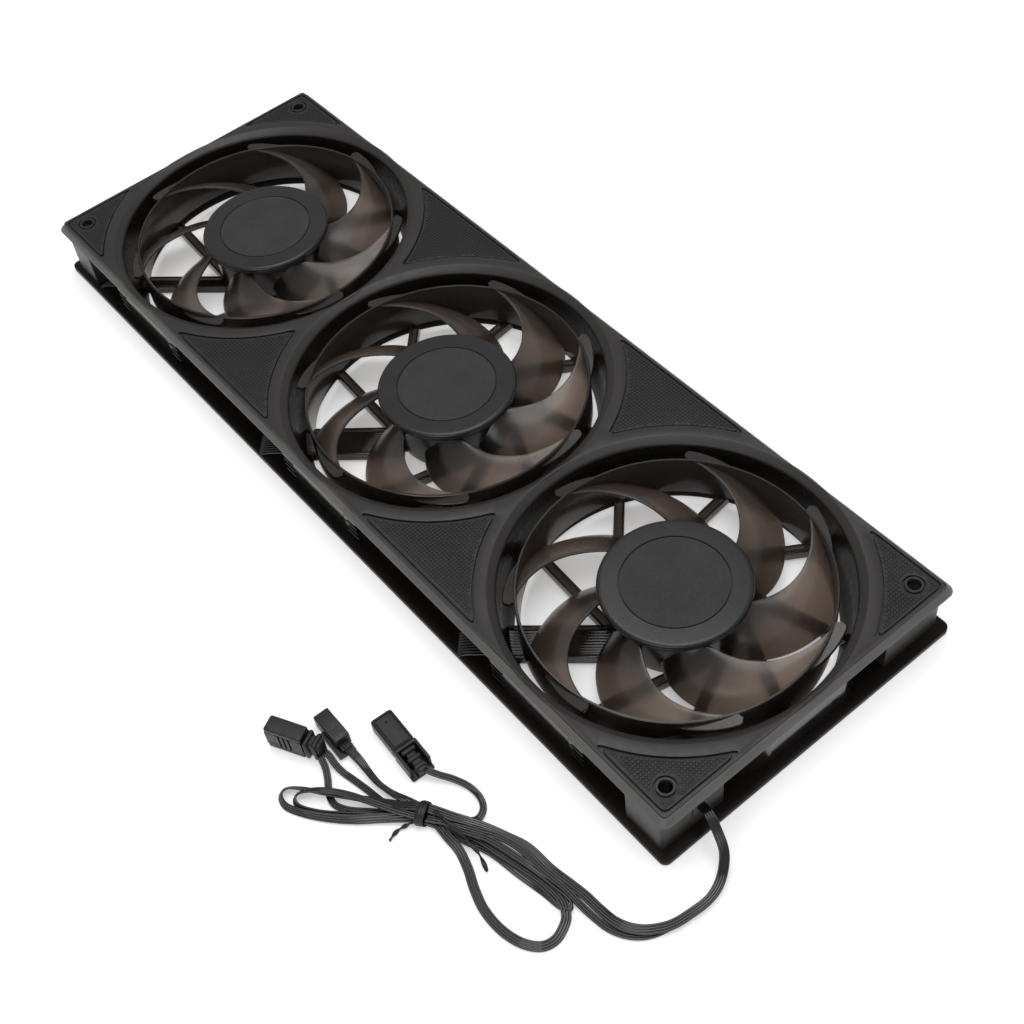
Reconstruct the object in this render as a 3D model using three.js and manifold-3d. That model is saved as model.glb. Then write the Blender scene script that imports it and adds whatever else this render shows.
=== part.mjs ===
// Three-rotor cooling fan unit for a 360 mm liquid-cooling radiator: one long moulded frame holds
// three identical rotors in a row. Millimetres, +Z up, origin at the centre of the frame's rear
// face. +X runs along the row towards the end where the leads come out; the air enters from +Z.
import * as THREE from "three";
import { mergeVertices } from "three/addons/utils/BufferGeometryUtils.js";
import Module from "manifold-3d";

const wasm = await Module();
wasm.setup();

// ---- Driving dimensions -------------------------------------------------------------------
const FAN_PITCH = 120;
const LENGTH = 360;
const WIDTH = 120;
const HEIGHT = 25;
const BORE_RADIUS = 57.5;
const REAR_BORE_RADIUS = 53.4;
const REAR_TAPER = 7;
const DECK_THICKNESS = 2.6;
const DECK_BEVEL = 0.9;
const SKIRT_DEPTH = 3.6;
const SKIRT_THICKNESS = 1.5;
const CORNER_RADIUS = 1.6;
const FLANGE_REACH = 2.4;
const FLANGE_THICKNESS = 2.5;
const FLANGE_CORNER_RADIUS = 3;
const FLAT_INSET = 0.7;
const BARREL_OUTER_RADIUS = 61.5;
const POST_END_INSET = 1.5;
const POST_LENGTH = 15.5;
const POST_WIDTH = 24.3;
const HOLE_INSET = 7.5;
const HOLE_RADIUS = 2.15;
const PAD_EDGE_INSET = 1.6;
const PAD_ARC_RADIUS = 65;
const PAD_THICKNESS = 0.9;
const PAD_CLEARANCE = 0.4;
const PAD_HOLE_RADIUS = 3.7;
const GAP = 0.3;
const BORE_SIDES = 32;

const ARM_COUNT = 9;
const ARM_WIDTH = 3.6;
const ARM_BOTTOM = 0.8;
const ARM_TOP = 4.4;
const ARM_TANGENT_RADIUS = 19.5;
const ARM_OUTER_RADIUS = 52;
const FIRST_ARM_ANGLE = 39;
const LEAD_ARM_INDEX = 5;
const MOTOR_BASE_RADIUS = 21;
const MOTOR_BASE_TOP = 2.8;
const BEARING_TUBE_RADIUS = 5;
const BEARING_TUBE_TOP = 16;
const SLEEVE_RADIUS = 3.2;
const SHAFT_RADIUS = 1.5;

const ROTOR_BOTTOM = 5.2;
const HUB_RADIUS = 22.6;
const HUB_TOP = 21.8;
const HUB_CAVITY_RADIUS = 20.9;
const HUB_CAVITY_TOP = 19.6;
const BLADE_COUNT = 7;
const BLADE_THICKNESS = 1.4;
const BLADE_ROOT_RADIUS = 21.9;
const RING_RADIUS = 51.6;
const RING_WALL = 1;
const RING_TOP = 22.3;
const RING_HEIGHT = 16.8;
const WINGLET_RADIUS = 55.6;
const WINGLET_SPAN = 23;
const CAP_RADIUS = 25.2;
const CAP_TOP = 23.1;
const BADGE_RADIUS = 17.9;

const LEAD_THICKNESS = 1;
const FAN_LEAD_WIDTH = 3.2;
const LIGHT_LEAD_WIDTH = 2.4;
const HANK_BOTTOM = 1;
const HANK_TOP = 4.8;

// The fans count from the end where the leads come out. Each entry is a fan's centre, the angle
// its rotor stands at, and the width and the sideways offset of the arm that carries its leads.
const FANS = [
  { number: 1, x: FAN_PITCH, phase: 30.1, leadArmWidth: 13, leadArmOffset: 10.4 },
  { number: 2, x: 0, phase: 21.6, leadArmWidth: 13, leadArmOffset: 10.4 },
  { number: 3, x: -FAN_PITCH, phase: 0, leadArmWidth: 6.4, leadArmOffset: 12 },
];

// ---- Materials ----------------------------------------------------------------------------
function material(color, roughness, metalness = 0) {
  return new THREE.MeshStandardMaterial({ color, roughness, metalness });
}
const SMOKE = material(0x2c2826, 0.3);
const SMOKE_BLADE = material(0x3a322d, 0.35);
const BLACK_PLASTIC = material(0x161616, 0.45);
const BADGE_GREY = material(0x3f3e40, 0.6);
const RUBBER = material(0x121212, 0.9);
const STEEL = material(0x9a9a9c, 0.35, 1);
const MAGNET = material(0x2b2a2a, 0.7, 0.2);
const COPPER = material(0xa8572c, 0.4, 1);
const BRONZE = material(0x8c6b3a, 0.5, 1);
const BOARD = material(0x1d4a2c, 0.6);
const LABEL = material(0xb8b8ba, 0.6);
const LEAD = material(0x0f0f0f, 0.5);

// ---- Solids -------------------------------------------------------------------------------
const radians = THREE.MathUtils.degToRad;

/** A closed three.js geometry as a manifold solid, its faces turned outwards. */
function solid(geometry) {
  const bare = geometry.index ? geometry.toNonIndexed() : geometry.clone();
  for (const name of Object.keys(bare.attributes)) {
    if (name !== "position") bare.deleteAttribute(name);
  }
  const merged = mergeVertices(bare, 1e-4);
  const vertProperties = merged.attributes.position.array;
  const triVerts = new Uint32Array(merged.index.array);
  const made = new wasm.Manifold(new wasm.Mesh({ numProp: 3, vertProperties, triVerts }));
  if (made.volume() > 0) return made;
  for (let i = 0; i < triVerts.length; i += 3) {
    [triVerts[i + 1], triVerts[i + 2]] = [triVerts[i + 2], triVerts[i + 1]];
  }
  return new wasm.Manifold(new wasm.Mesh({ numProp: 3, vertProperties, triVerts }));
}

/** A manifold solid as a three.js geometry. */
function geometryOf(body) {
  const mesh = body.getMesh();
  const position = new Float32Array(mesh.numVert * 3);
  for (let i = 0; i < mesh.numVert; i++) {
    position.set(mesh.vertProperties.subarray(i * mesh.numProp, i * mesh.numProp + 3), i * 3);
  }
  const geometry = new THREE.BufferGeometry();
  geometry.setAttribute("position", new THREE.BufferAttribute(position, 3));
  geometry.setIndex(new THREE.BufferAttribute(mesh.triVerts, 1));
  geometry.computeVertexNormals();
  return geometry;
}

function prism(shape, bottom, top, curveSegments = 6) {
  const options = { depth: top - bottom, bevelEnabled: false, curveSegments };
  return solid(new THREE.ExtrudeGeometry(shape, options).translate(0, 0, bottom));
}

function cylinder(radius, bottom, top, x = 0, y = 0, sides = 32) {
  const geometry = new THREE.CylinderGeometry(radius, radius, top - bottom, sides);
  return solid(geometry.rotateX(Math.PI / 2).translate(x, y, (bottom + top) / 2));
}

function box(low, high) {
  const size = high.map((value, axis) => value - low[axis]);
  const middle = high.map((value, axis) => (value + low[axis]) / 2);
  return solid(new THREE.BoxGeometry(...size).translate(...middle));
}

/** A solid of revolution about the Z axis from [radius, height] pairs that close on themselves. */
function turned(profile, sides = 36) {
  const points = [...profile, profile[0]].map(([radius, z]) => new THREE.Vector2(radius, z));
  return solid(new THREE.LatheGeometry(points, sides).rotateX(Math.PI / 2));
}

function turnedRing(inner, outer, bottom, top, sides = 36) {
  return turned([[inner, bottom], [outer, bottom], [outer, top], [inner, top]], sides);
}

function roundedRectangle(halfX, halfY, radius) {
  const shape = new THREE.Shape();
  shape.absarc(halfX - radius, halfY - radius, radius, 0, Math.PI / 2);
  shape.absarc(-halfX + radius, halfY - radius, radius, Math.PI / 2, Math.PI);
  shape.absarc(-halfX + radius, -halfY + radius, radius, Math.PI, 1.5 * Math.PI);
  shape.absarc(halfX - radius, -halfY + radius, radius, 1.5 * Math.PI, 2 * Math.PI);
  return shape;
}

/** A block whose rounded rectangle outline changes evenly from its foot to its top. */
function taperedBlock(foot, top, bottomZ, topZ, radius) {
  const rings = [[foot, bottomZ], [top, topZ]].map(([half, z]) =>
    roundedRectangle(half[0], half[1], radius).getPoints(3).map((p) => [p.x, p.y, z]));
  return loft(rings);
}

/** A closed solid through rings of the same number of points, capped by fans of triangles. */
function loft(rings) {
  const count = rings[0].length;
  const position = [];
  const quad = (a, b, c, d) => position.push(...a, ...b, ...c, ...a, ...c, ...d);
  for (let level = 0; level + 1 < rings.length; level++) {
    for (let i = 0; i < count; i++) {
      const j = (i + 1) % count;
      quad(rings[level][i], rings[level][j], rings[level + 1][j], rings[level + 1][i]);
    }
  }
  const first = rings[0];
  const last = rings[rings.length - 1];
  for (let i = 1; i + 1 < count; i++) {
    position.push(...first[0], ...first[i + 1], ...first[i]);
    position.push(...last[0], ...last[i], ...last[i + 1]);
  }
  const geometry = new THREE.BufferGeometry();
  geometry.setAttribute("position", new THREE.Float32BufferAttribute(position, 3));
  return solid(geometry);
}

/** A curved plate: surface(u, v) is its middle face, with u and v from 0 to 1. */
function curvedPlate(surface, stepsU, stepsV, thickness) {
  const step = 1e-3;
  const faces = [-1, 1].map((side) => {
    const grid = [];
    for (let i = 0; i <= stepsU; i++) {
      for (let j = 0; j <= stepsV; j++) {
        const [u, v] = [i / stepsU, j / stepsV];
        const [du, dv] = [u < 0.5 ? step : -step, v < 0.5 ? step : -step];
        const here = surface(u, v);
        const alongU = surface(u + du, v).sub(here).divideScalar(du);
        const alongV = surface(u, v + dv).sub(here).divideScalar(dv);
        const normal = alongU.cross(alongV).normalize();
        grid.push(here.addScaledVector(normal, side * thickness / 2));
      }
    }
    return grid;
  });
  const at = (side, i, j) => faces[side][i * (stepsV + 1) + j].toArray();
  const position = [];
  const quad = (a, b, c, d) => position.push(...a, ...b, ...c, ...a, ...c, ...d);
  for (let i = 0; i < stepsU; i++) {
    for (let j = 0; j < stepsV; j++) {
      quad(at(1, i, j), at(1, i + 1, j), at(1, i + 1, j + 1), at(1, i, j + 1));
      quad(at(0, i, j), at(0, i, j + 1), at(0, i + 1, j + 1), at(0, i + 1, j));
    }
    quad(at(0, i, 0), at(0, i + 1, 0), at(1, i + 1, 0), at(1, i, 0));
    quad(at(1, i, stepsV), at(1, i + 1, stepsV), at(0, i + 1, stepsV), at(0, i, stepsV));
  }
  for (let j = 0; j < stepsV; j++) {
    quad(at(1, 0, j), at(1, 0, j + 1), at(0, 0, j + 1), at(0, 0, j));
    quad(at(0, stepsU, j), at(0, stepsU, j + 1), at(1, stepsU, j + 1), at(1, stepsU, j));
  }
  const geometry = new THREE.BufferGeometry();
  geometry.setAttribute("position", new THREE.Float32BufferAttribute(position, 3));
  return solid(geometry);
}

// ---- Scene graph --------------------------------------------------------------------------
const model = new THREE.Group();

function addPiece(parent, name, body, finish) {
  const mesh = new THREE.Mesh(body.isBufferGeometry ? body : geometryOf(body), finish);
  mesh.name = name;
  parent.add(mesh);
}

// ---- Pads on the intake face --------------------------------------------------------------
/** A pad between two fans: a straight base along the edge and an arc round each fan's bore. */
function midPadShape(clearance) {
  const arc = PAD_ARC_RADIUS - clearance;
  const edge = WIDTH / 2 - PAD_EDGE_INSET + clearance;
  const half = FAN_PITCH / 2;
  const baseHalf = half - Math.sqrt(arc ** 2 - edge ** 2);
  const apex = Math.sqrt(arc ** 2 - half ** 2);
  const from = Math.asin(edge / arc) - radians(3.5);
  const to = Math.acos(half / arc) + radians(6.5);
  const shape = new THREE.Shape();
  shape.moveTo(baseHalf - 6, edge);
  shape.lineTo(6 - baseHalf, edge);
  shape.quadraticCurveTo(-baseHalf, edge, arc * Math.cos(from) - half, arc * Math.sin(from));
  shape.absarc(-half, 0, arc, from, to, true);
  shape.quadraticCurveTo(0, apex, half - arc * Math.cos(to), arc * Math.sin(to));
  shape.absarc(half, 0, arc, Math.PI - to, Math.PI - from, true);
  shape.quadraticCurveTo(baseHalf, edge, baseHalf - 6, edge);
  return shape;
}

/** A pad in a corner, seen from the end fan's centre: two straight edges and one arc. */
function cornerPadShape(clearance) {
  const arc = PAD_ARC_RADIUS - clearance;
  const edge = WIDTH / 2 - PAD_EDGE_INSET + clearance;
  const reach = Math.sqrt(arc ** 2 - edge ** 2);
  const from = Math.asin(edge / arc) - radians(3);
  const to = Math.PI / 2 - from;
  const shape = new THREE.Shape();
  shape.moveTo(edge, reach + 5);
  shape.lineTo(edge, edge - 2.5);
  shape.quadraticCurveTo(edge, edge, edge - 2.5, edge);
  shape.lineTo(reach + 5, edge);
  shape.quadraticCurveTo(reach, edge, arc * Math.cos(from), arc * Math.sin(from));
  shape.absarc(0, 0, arc, from, to, true);
  shape.quadraticCurveTo(edge, reach, edge, reach + 5);
  return shape;
}

/** Every pad's outline as a solid in place, with its name and whether a screw passes it. */
function padSolids(bottom, top, clearance) {
  const mid = prism(midPadShape(clearance), bottom, top, 5);
  const corner = prism(cornerPadShape(clearance), bottom, top, 6);
  const pads = [];
  for (const side of [1, -1]) {
    for (const x of [FAN_PITCH / 2, -FAN_PITCH / 2]) {
      const placed = mid.scale([1, side, 1]).translate([x, 0, 0]);
      pads.push({ name: `pad_mid_${pads.length + 1}`, body: placed, hole: null });
    }
  }
  for (const sideX of [1, -1]) {
    for (const sideY of [1, -1]) {
      const placed = corner.scale([sideX, sideY, 1]).translate([sideX * FAN_PITCH, 0, 0]);
      const hole = [sideX * (LENGTH / 2 - HOLE_INSET), sideY * (WIDTH / 2 - HOLE_INSET)];
      pads.push({ name: `pad_corner_${pads.length - 3}`, body: placed, hole });
    }
  }
  return pads;
}

function addPads() {
  const floor = HEIGHT - PAD_THICKNESS;
  for (const { name, body, hole } of padSolids(floor, HEIGHT, 0)) {
    const cut = hole ? cylinder(PAD_HOLE_RADIUS, floor - 1, HEIGHT + 1, ...hole, 16) : null;
    addPiece(model, name, cut ? body.subtract(cut) : body, RUBBER);
  }
}

// ---- Frame --------------------------------------------------------------------------------
/** A straight bar at a tangent to a circle about the fan's centre, ending at the barrel wall. */
function armBar(angle, offset, width, bottom, top, from, to) {
  const heading = armHeading(angle, offset);
  const bar = box([from, -width / 2, bottom], [to, width / 2, top]);
  return bar.translate([0, offset, 0]).rotate([0, 0, THREE.MathUtils.radToDeg(heading)]);
}

function leadArmAngle() {
  return FIRST_ARM_ANGLE + (LEAD_ARM_INDEX * 360) / ARM_COUNT;
}

function armHeading(angle, offset) {
  return radians(angle) - Math.asin(offset / ARM_OUTER_RADIUS);
}

function leadArmHeading(fan) {
  return armHeading(leadArmAngle(), fan.leadArmOffset);
}

/** The rear spider of one fan: motor base, bearing tube, eight arms and the wide arm for the leads. */
function spider(fan) {
  let body = cylinder(MOTOR_BASE_RADIUS, ARM_BOTTOM, MOTOR_BASE_TOP, 0, 0, 28);
  body = body.add(cylinder(BEARING_TUBE_RADIUS, ARM_BOTTOM, BEARING_TUBE_TOP, 0, 0, 16));
  const reach = REAR_BORE_RADIUS + 1.2;
  for (let k = 0; k < ARM_COUNT; k++) {
    const angle = FIRST_ARM_ANGLE + (k * 360) / ARM_COUNT;
    if (k === LEAD_ARM_INDEX) continue;
    const end = Math.sqrt(reach ** 2 - ARM_TANGENT_RADIUS ** 2);
    const bar = armBar(angle, ARM_TANGENT_RADIUS, ARM_WIDTH, ARM_BOTTOM, ARM_TOP, 0, end);
    body = body.add(bar);
  }
  const end = Math.sqrt(reach ** 2 - fan.leadArmOffset ** 2) - 1;
  const width = fan.leadArmWidth;
  const arm = armBar(leadArmAngle(), fan.leadArmOffset, width, ARM_BOTTOM, ARM_TOP, 16.8, end);
  const trough = leadStrip(fan, GAP, end + 8);
  body = body.add(arm).subtract(trough);
  body = body.subtract(cylinder(SLEEVE_RADIUS + GAP, 1.6, BEARING_TUBE_TOP + 1, 0, 0, 16));
  return body;
}

/** One fan's barrel: the space inside, narrower at the rear, and the outside of its wall. */
function barrel() {
  const inner = turned([
    [0, -1], [REAR_BORE_RADIUS, -1], [REAR_BORE_RADIUS, 0], [BORE_RADIUS, REAR_TAPER],
    [BORE_RADIUS, HEIGHT + 1], [0, HEIGHT + 1],
  ], BORE_SIDES);
  const outer = cylinder(BARREL_OUTER_RADIUS, 0.5, HEIGHT - 1, 0, 0, BORE_SIDES);
  return { inner, outer };
}

/** The four corner posts: solid between the deck and the flange, flat towards both sides. */
function postSolids() {
  const halfX = LENGTH / 2 - POST_END_INSET;
  const halfY = WIDTH / 2 - FLAT_INSET;
  const outline = prism(roundedRectangle(halfX, halfY, CORNER_RADIUS), 0.5, HEIGHT - 1, 4);
  const posts = [];
  for (const sideX of [-1, 1]) {
    for (const sideY of [-1, 1]) {
      const low = [sideX < 0 ? -halfX - 1 : halfX - POST_LENGTH, sideY < 0 ? -halfY - 1 : halfY - POST_WIDTH];
      const corner = box([...low, 0], [low[0] + POST_LENGTH + 1, low[1] + POST_WIDTH + 1, HEIGHT]);
      posts.push(outline.intersect(corner));
    }
  }
  return posts;
}

function frameSolid() {
  const deckHalf = [LENGTH / 2, WIDTH / 2];
  const bevelled = deckHalf.map((half) => half - DECK_BEVEL);
  const bevelZ = HEIGHT - DECK_BEVEL;
  let body = prism(roundedRectangle(...deckHalf, CORNER_RADIUS), HEIGHT - SKIRT_DEPTH, bevelZ, 4);
  body = body.add(taperedBlock(deckHalf, bevelled, bevelZ, HEIGHT, CORNER_RADIUS));
  const inside = deckHalf.map((half) => half - SKIRT_THICKNESS);
  const underside = HEIGHT - DECK_THICKNESS;
  const pocket = prism(roundedRectangle(...inside, 2), HEIGHT - SKIRT_DEPTH - 1, underside, 4);
  body = body.subtract(pocket);
  const flange = deckHalf.map((half) => half + FLANGE_REACH);
  body = body.add(prism(roundedRectangle(...flange, FLANGE_CORNER_RADIUS), 0, FLANGE_THICKNESS, 5));

  const flats = prism(roundedRectangle(LENGTH / 2 - FLAT_INSET, WIDTH / 2 - FLAT_INSET, 2), 0, HEIGHT, 2);
  const { inner, outer } = barrel();
  for (const post of postSolids()) body = body.add(post);
  for (const fan of FANS) body = body.add(outer.translate([fan.x, 0, 0]).intersect(flats));
  for (const fan of FANS) {
    body = body.subtract(inner.translate([fan.x, 0, 0]));
    body = body.add(spider(fan).translate([fan.x, 0, 0]));
  }
  for (const pad of padSolids(HEIGHT - PAD_THICKNESS - GAP, HEIGHT + 1, PAD_CLEARANCE)) {
    body = body.subtract(pad.body);
  }
  for (const sideX of [-1, 1]) {
    for (const sideY of [-1, 1]) {
      const x = sideX * (LENGTH / 2 - HOLE_INSET);
      const y = sideY * (WIDTH / 2 - HOLE_INSET);
      const boss = cylinder(PAD_HOLE_RADIUS - 0.5, HEIGHT - DECK_THICKNESS, HEIGHT, x, y, 16);
      body = body.add(boss).subtract(cylinder(HOLE_RADIUS, -1, HEIGHT + 1, x, y, 16));
    }
  }
  body = body.subtract(harnessSolid(GAP));
  return body.subtract(glandSolid(GAP));
}

// ---- Leads held inside the frame ----------------------------------------------------------
const EXIT_Y = -44.5;
const EXIT_Z = 11.5;
const HARNESS_Y = -59.9;
const HARNESS_WIDTH = 2.4;
const HARNESS_BOTTOM = 0.4;
const HARNESS_ROUTE = [
  [-165, HARNESS_Y], [148, HARNESS_Y], [158, -57], [165, -48], [170, EXIT_Y], [173.4, EXIT_Y],
];
const STRIP_BOTTOM = FLANGE_THICKNESS + GAP;

/** A flat strip of the given width along a polyline in plan. */
function flatStrip(route, width, bottom, top) {
  const points = route.map(([x, y]) => new THREE.Vector2(x, y));
  const side = points.map((point, i) => {
    const before = points[Math.max(i - 1, 0)];
    const after = points[Math.min(i + 1, points.length - 1)];
    const along = after.clone().sub(before).normalize();
    return new THREE.Vector2(-along.y, along.x).multiplyScalar(width / 2);
  });
  const left = points.map((point, i) => point.clone().add(side[i]));
  const right = points.map((point, i) => point.clone().sub(side[i])).reverse();
  return prism(new THREE.Shape([...left, ...right]), bottom, top);
}

/** The flat strip of leads along an arm; with clearance it is the trough that the strip lies in. */
function leadStrip(fan, clearance, to) {
  const width = fan.leadArmWidth - 3 + 2 * clearance;
  const top = clearance ? ARM_TOP + 1 : STRIP_BOTTOM + LEAD_THICKNESS;
  const bottom = STRIP_BOTTOM - clearance;
  return armBar(leadArmAngle(), fan.leadArmOffset, width, bottom, top, 17.5, to);
}

/** How far along its arm, and at which x, a fan's strip of leads reaches the harness's groove. */
function harnessMeeting(fan) {
  const heading = leadArmHeading(fan);
  const along = (HARNESS_Y - fan.leadArmOffset * Math.cos(heading)) / Math.sin(heading);
  return { along, x: along * Math.cos(heading) - fan.leadArmOffset * Math.sin(heading) };
}

/** The harness: a strip in a groove of the rear face, a branch up to each arm, and a riser. */
function harnessSolid(clearance) {
  const bottom = clearance ? -1 : HARNESS_BOTTOM;
  const top = HARNESS_BOTTOM + LEAD_THICKNESS + clearance;
  const width = HARNESS_WIDTH + 2 * clearance;
  let body = flatStrip(HARNESS_ROUTE, width, bottom, top);
  for (const fan of FANS) {
    const { along, x } = harnessMeeting(fan);
    const branchTop = STRIP_BOTTOM + LEAD_THICKNESS + clearance;
    const keep = box([-LENGTH, HARNESS_Y - width / 2, 0], [LENGTH, 0, branchTop]);
    const dropHalf = width / 2 - 0.2;
    const drop = box([x - 3 - clearance, HARNESS_Y - dropHalf, bottom + 0.1],
      [x + 3 + clearance, HARNESS_Y + dropHalf, branchTop]);
    const branch = leadStrip(fan, clearance, along + 8).intersect(keep).add(drop);
    body = body.add(branch.translate([fan.x, 0, 0]));
  }
  const riser = box(
    [172.4 - clearance, EXIT_Y - 1.5 - clearance, bottom + 0.1],
    [173.4 + clearance, EXIT_Y + 1.5 + clearance, EXIT_Z + 2 + clearance],
  );
  return body.add(riser);
}

/** The rubber gland in the end wall that the two leads come out of. */
function glandSolid(clearance) {
  const inner = [173.8, EXIT_Y - 2.6 - clearance, EXIT_Z - 2.4 - clearance];
  const outer = [178.3 + clearance, EXIT_Y + 2.6 + clearance, EXIT_Z + 2.4 + clearance];
  return box(inner, outer);
}

// ---- Rotors -------------------------------------------------------------------------------
/** Angle and height of a blade's edge at a share of its span, as curves through evenly spaced values. */
function edgeCurve(values) {
  const curve = new THREE.CatmullRomCurve3(values.map((value, i) => new THREE.Vector3(i, value, 0)));
  return (share) => curve.getPoint(THREE.MathUtils.clamp(share, 0, 1)).y;
}
const LEADING_ANGLE = edgeCurve([-50, -41.5, -33.5, -24.5, -14.5, -2.5]);
const LEADING_HEIGHT = edgeCurve([19.2, 18.8, 18.6, 18.9, 20, 21.8]);
const TRAILING_ANGLE = edgeCurve([-84, -77.5, -68.5, -59, -48.5, -39]);
const TRAILING_HEIGHT = edgeCurve([7.9, 7.4, 7, 6.8, 6.6, 6.5]);
const BLADE_CAMBER = 1.5;

function bladePoint(span, chord) {
  const radius = THREE.MathUtils.lerp(BLADE_ROOT_RADIUS, RING_RADIUS - RING_WALL / 2, span);
  const angle = THREE.MathUtils.lerp(LEADING_ANGLE(span), TRAILING_ANGLE(span), chord);
  const line = THREE.MathUtils.lerp(LEADING_HEIGHT(span), TRAILING_HEIGHT(span), chord);
  const z = line + BLADE_CAMBER * Math.sin(Math.PI * chord);
  return new THREE.Vector3(radius * Math.cos(radians(angle)), radius * Math.sin(radians(angle)), z);
}

/** The small wing outside the ring at each blade's tip, widest at its leading end. */
function wingletPoint(along, across) {
  const angle = radians(-along * WINGLET_SPAN);
  const inner = RING_RADIUS - RING_WALL / 2;
  const outer = THREE.MathUtils.lerp(WINGLET_RADIUS, RING_RADIUS + 0.2, along ** 1.5);
  const radius = THREE.MathUtils.lerp(inner, outer, across);
  const z = 21.6 - 3 * along;
  return new THREE.Vector3(radius * Math.cos(angle), radius * Math.sin(angle), z);
}

function impellerSolid() {
  let body = turned([
    [HUB_CAVITY_RADIUS, ROTOR_BOTTOM], [HUB_RADIUS, ROTOR_BOTTOM], [HUB_RADIUS, HUB_TOP],
    [0, HUB_TOP], [0, HUB_CAVITY_TOP], [HUB_CAVITY_RADIUS, HUB_CAVITY_TOP],
  ], 21);
  const ringBottom = RING_TOP - RING_HEIGHT;
  body = body.add(turnedRing(RING_RADIUS - RING_WALL, RING_RADIUS, ringBottom, RING_TOP, 28));
  const blade = curvedPlate(bladePoint, 4, 2, BLADE_THICKNESS);
  const winglet = curvedPlate(wingletPoint, 2, 1, 1.1);
  for (let k = 0; k < BLADE_COUNT; k++) {
    const turn = [0, 0, (k * 360) / BLADE_COUNT];
    body = body.add(blade.rotate(turn)).add(winglet.rotate(turn));
  }
  return body;
}

function capSolid() {
  return turned([
    [0, HUB_TOP + GAP], [24.3, HUB_TOP + GAP], [24.3, 20.6], [CAP_RADIUS, 20.6],
    [CAP_RADIUS, 22.3], [24.2, CAP_TOP],
    [BADGE_RADIUS + GAP, CAP_TOP], [BADGE_RADIUS + GAP, CAP_TOP - 0.6], [0, CAP_TOP - 0.6],
  ], 28);
}

function yokeSolid() {
  return turned([
    [19.8, ROTOR_BOTTOM + 0.4], [20.6, ROTOR_BOTTOM + 0.4], [20.6, HUB_CAVITY_TOP - GAP],
    [0, HUB_CAVITY_TOP - GAP], [0, 18.5], [19.8, 18.5],
  ], 24);
}

function addRotor(fan) {
  const rotor = new THREE.Group();
  rotor.position.x = fan.x;
  rotor.rotation.z = radians(fan.phase);
  model.add(rotor);
  addPiece(rotor, `impeller_${fan.number}`, impellerSolid(), SMOKE_BLADE);
  addPiece(rotor, `hub_cap_${fan.number}`, capSolid(), BLACK_PLASTIC);
  const badge = cylinder(BADGE_RADIUS, CAP_TOP - 0.3, CAP_TOP, 0, 0, 28);
  addPiece(rotor, `hub_badge_${fan.number}`, badge, BADGE_GREY);
  addPiece(rotor, `rotor_yoke_${fan.number}`, yokeSolid(), STEEL);
  addPiece(rotor, `magnet_ring_${fan.number}`, turnedRing(18, 19.5, 6, 15.5, 24), MAGNET);
  addPiece(rotor, `shaft_${fan.number}`, cylinder(SHAFT_RADIUS, 2.4, 18.2, 0, 0, 12), STEEL);
}

// ---- Motors -------------------------------------------------------------------------------
const POLE_COUNT = 4;
const STATOR_BOTTOM = 8;
const STATOR_TOP = 13;
const POLE_TIP_RADIUS = 17.5;
const TOOTH_HALF_WIDTH = 2.2;

/** Laminated core: a hub, four straight teeth and a curved shoe on each. */
function coreSolid() {
  let body = cylinder(8, STATOR_BOTTOM, STATOR_TOP, 0, 0, 16);
  for (let k = 0; k < POLE_COUNT; k++) {
    const tooth = box([4, -TOOTH_HALF_WIDTH, STATOR_BOTTOM], [16, TOOTH_HALF_WIDTH, STATOR_TOP]);
    const shoe = box([15.2, -7.5, STATOR_BOTTOM], [18, 7.5, STATOR_TOP]);
    body = body.add(tooth.add(shoe).rotate([0, 0, k * 90]));
  }
  const round = cylinder(POLE_TIP_RADIUS, 0, HEIGHT, 0, 0, 28);
  return body.intersect(round).subtract(cylinder(BEARING_TUBE_RADIUS + GAP, 0, HEIGHT, 0, 0, 16));
}

/** Four coils round the teeth, joined by the bobbin's ring above the core. */
function windingSolid() {
  let body = turnedRing(BEARING_TUBE_RADIUS + GAP, 9, STATOR_TOP + GAP, STATOR_TOP + 1.5, 16);
  for (let k = 0; k < POLE_COUNT; k++) {
    const coil = box([8.6, -4.6, STATOR_BOTTOM - 2], [14.6, 4.6, STATOR_TOP + 2]);
    const eye = box([8, -TOOTH_HALF_WIDTH - GAP, STATOR_BOTTOM - GAP],
      [15, TOOTH_HALF_WIDTH + GAP, STATOR_TOP + GAP]);
    body = body.add(coil.subtract(eye).rotate([0, 0, k * 90]));
  }
  return body;
}

/** The motor's circuit board with its driver chip and speed sensor underneath. */
function boardSolid() {
  const board = turnedRing(BEARING_TUBE_RADIUS + GAP + 0.3, 16, 4.7, 5.3, 24);
  const chip = box([8, -2.5, 3.4], [13, 2.5, 4.9]);
  const sensor = box([-1.5, 11, 3.5], [1.5, 14, 4.9]);
  return board.add(chip).add(sensor);
}

function addMotor(fan) {
  const motor = new THREE.Group();
  motor.position.x = fan.x;
  model.add(motor);
  const sleeve = turnedRing(SHAFT_RADIUS + GAP, SLEEVE_RADIUS, 4.4, BEARING_TUBE_TOP + 0.5, 16);
  addPiece(motor, `bearing_sleeve_${fan.number}`, sleeve, BRONZE);
  addPiece(motor, `stator_core_${fan.number}`, coreSolid(), STEEL);
  addPiece(motor, `windings_${fan.number}`, windingSolid(), COPPER);
  addPiece(motor, `circuit_board_${fan.number}`, boardSolid(), BOARD);
  addPiece(motor, `rear_label_${fan.number}`, cylinder(19.5, 0.3, 0.5, 0, 0, 24), LABEL);
}

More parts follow.
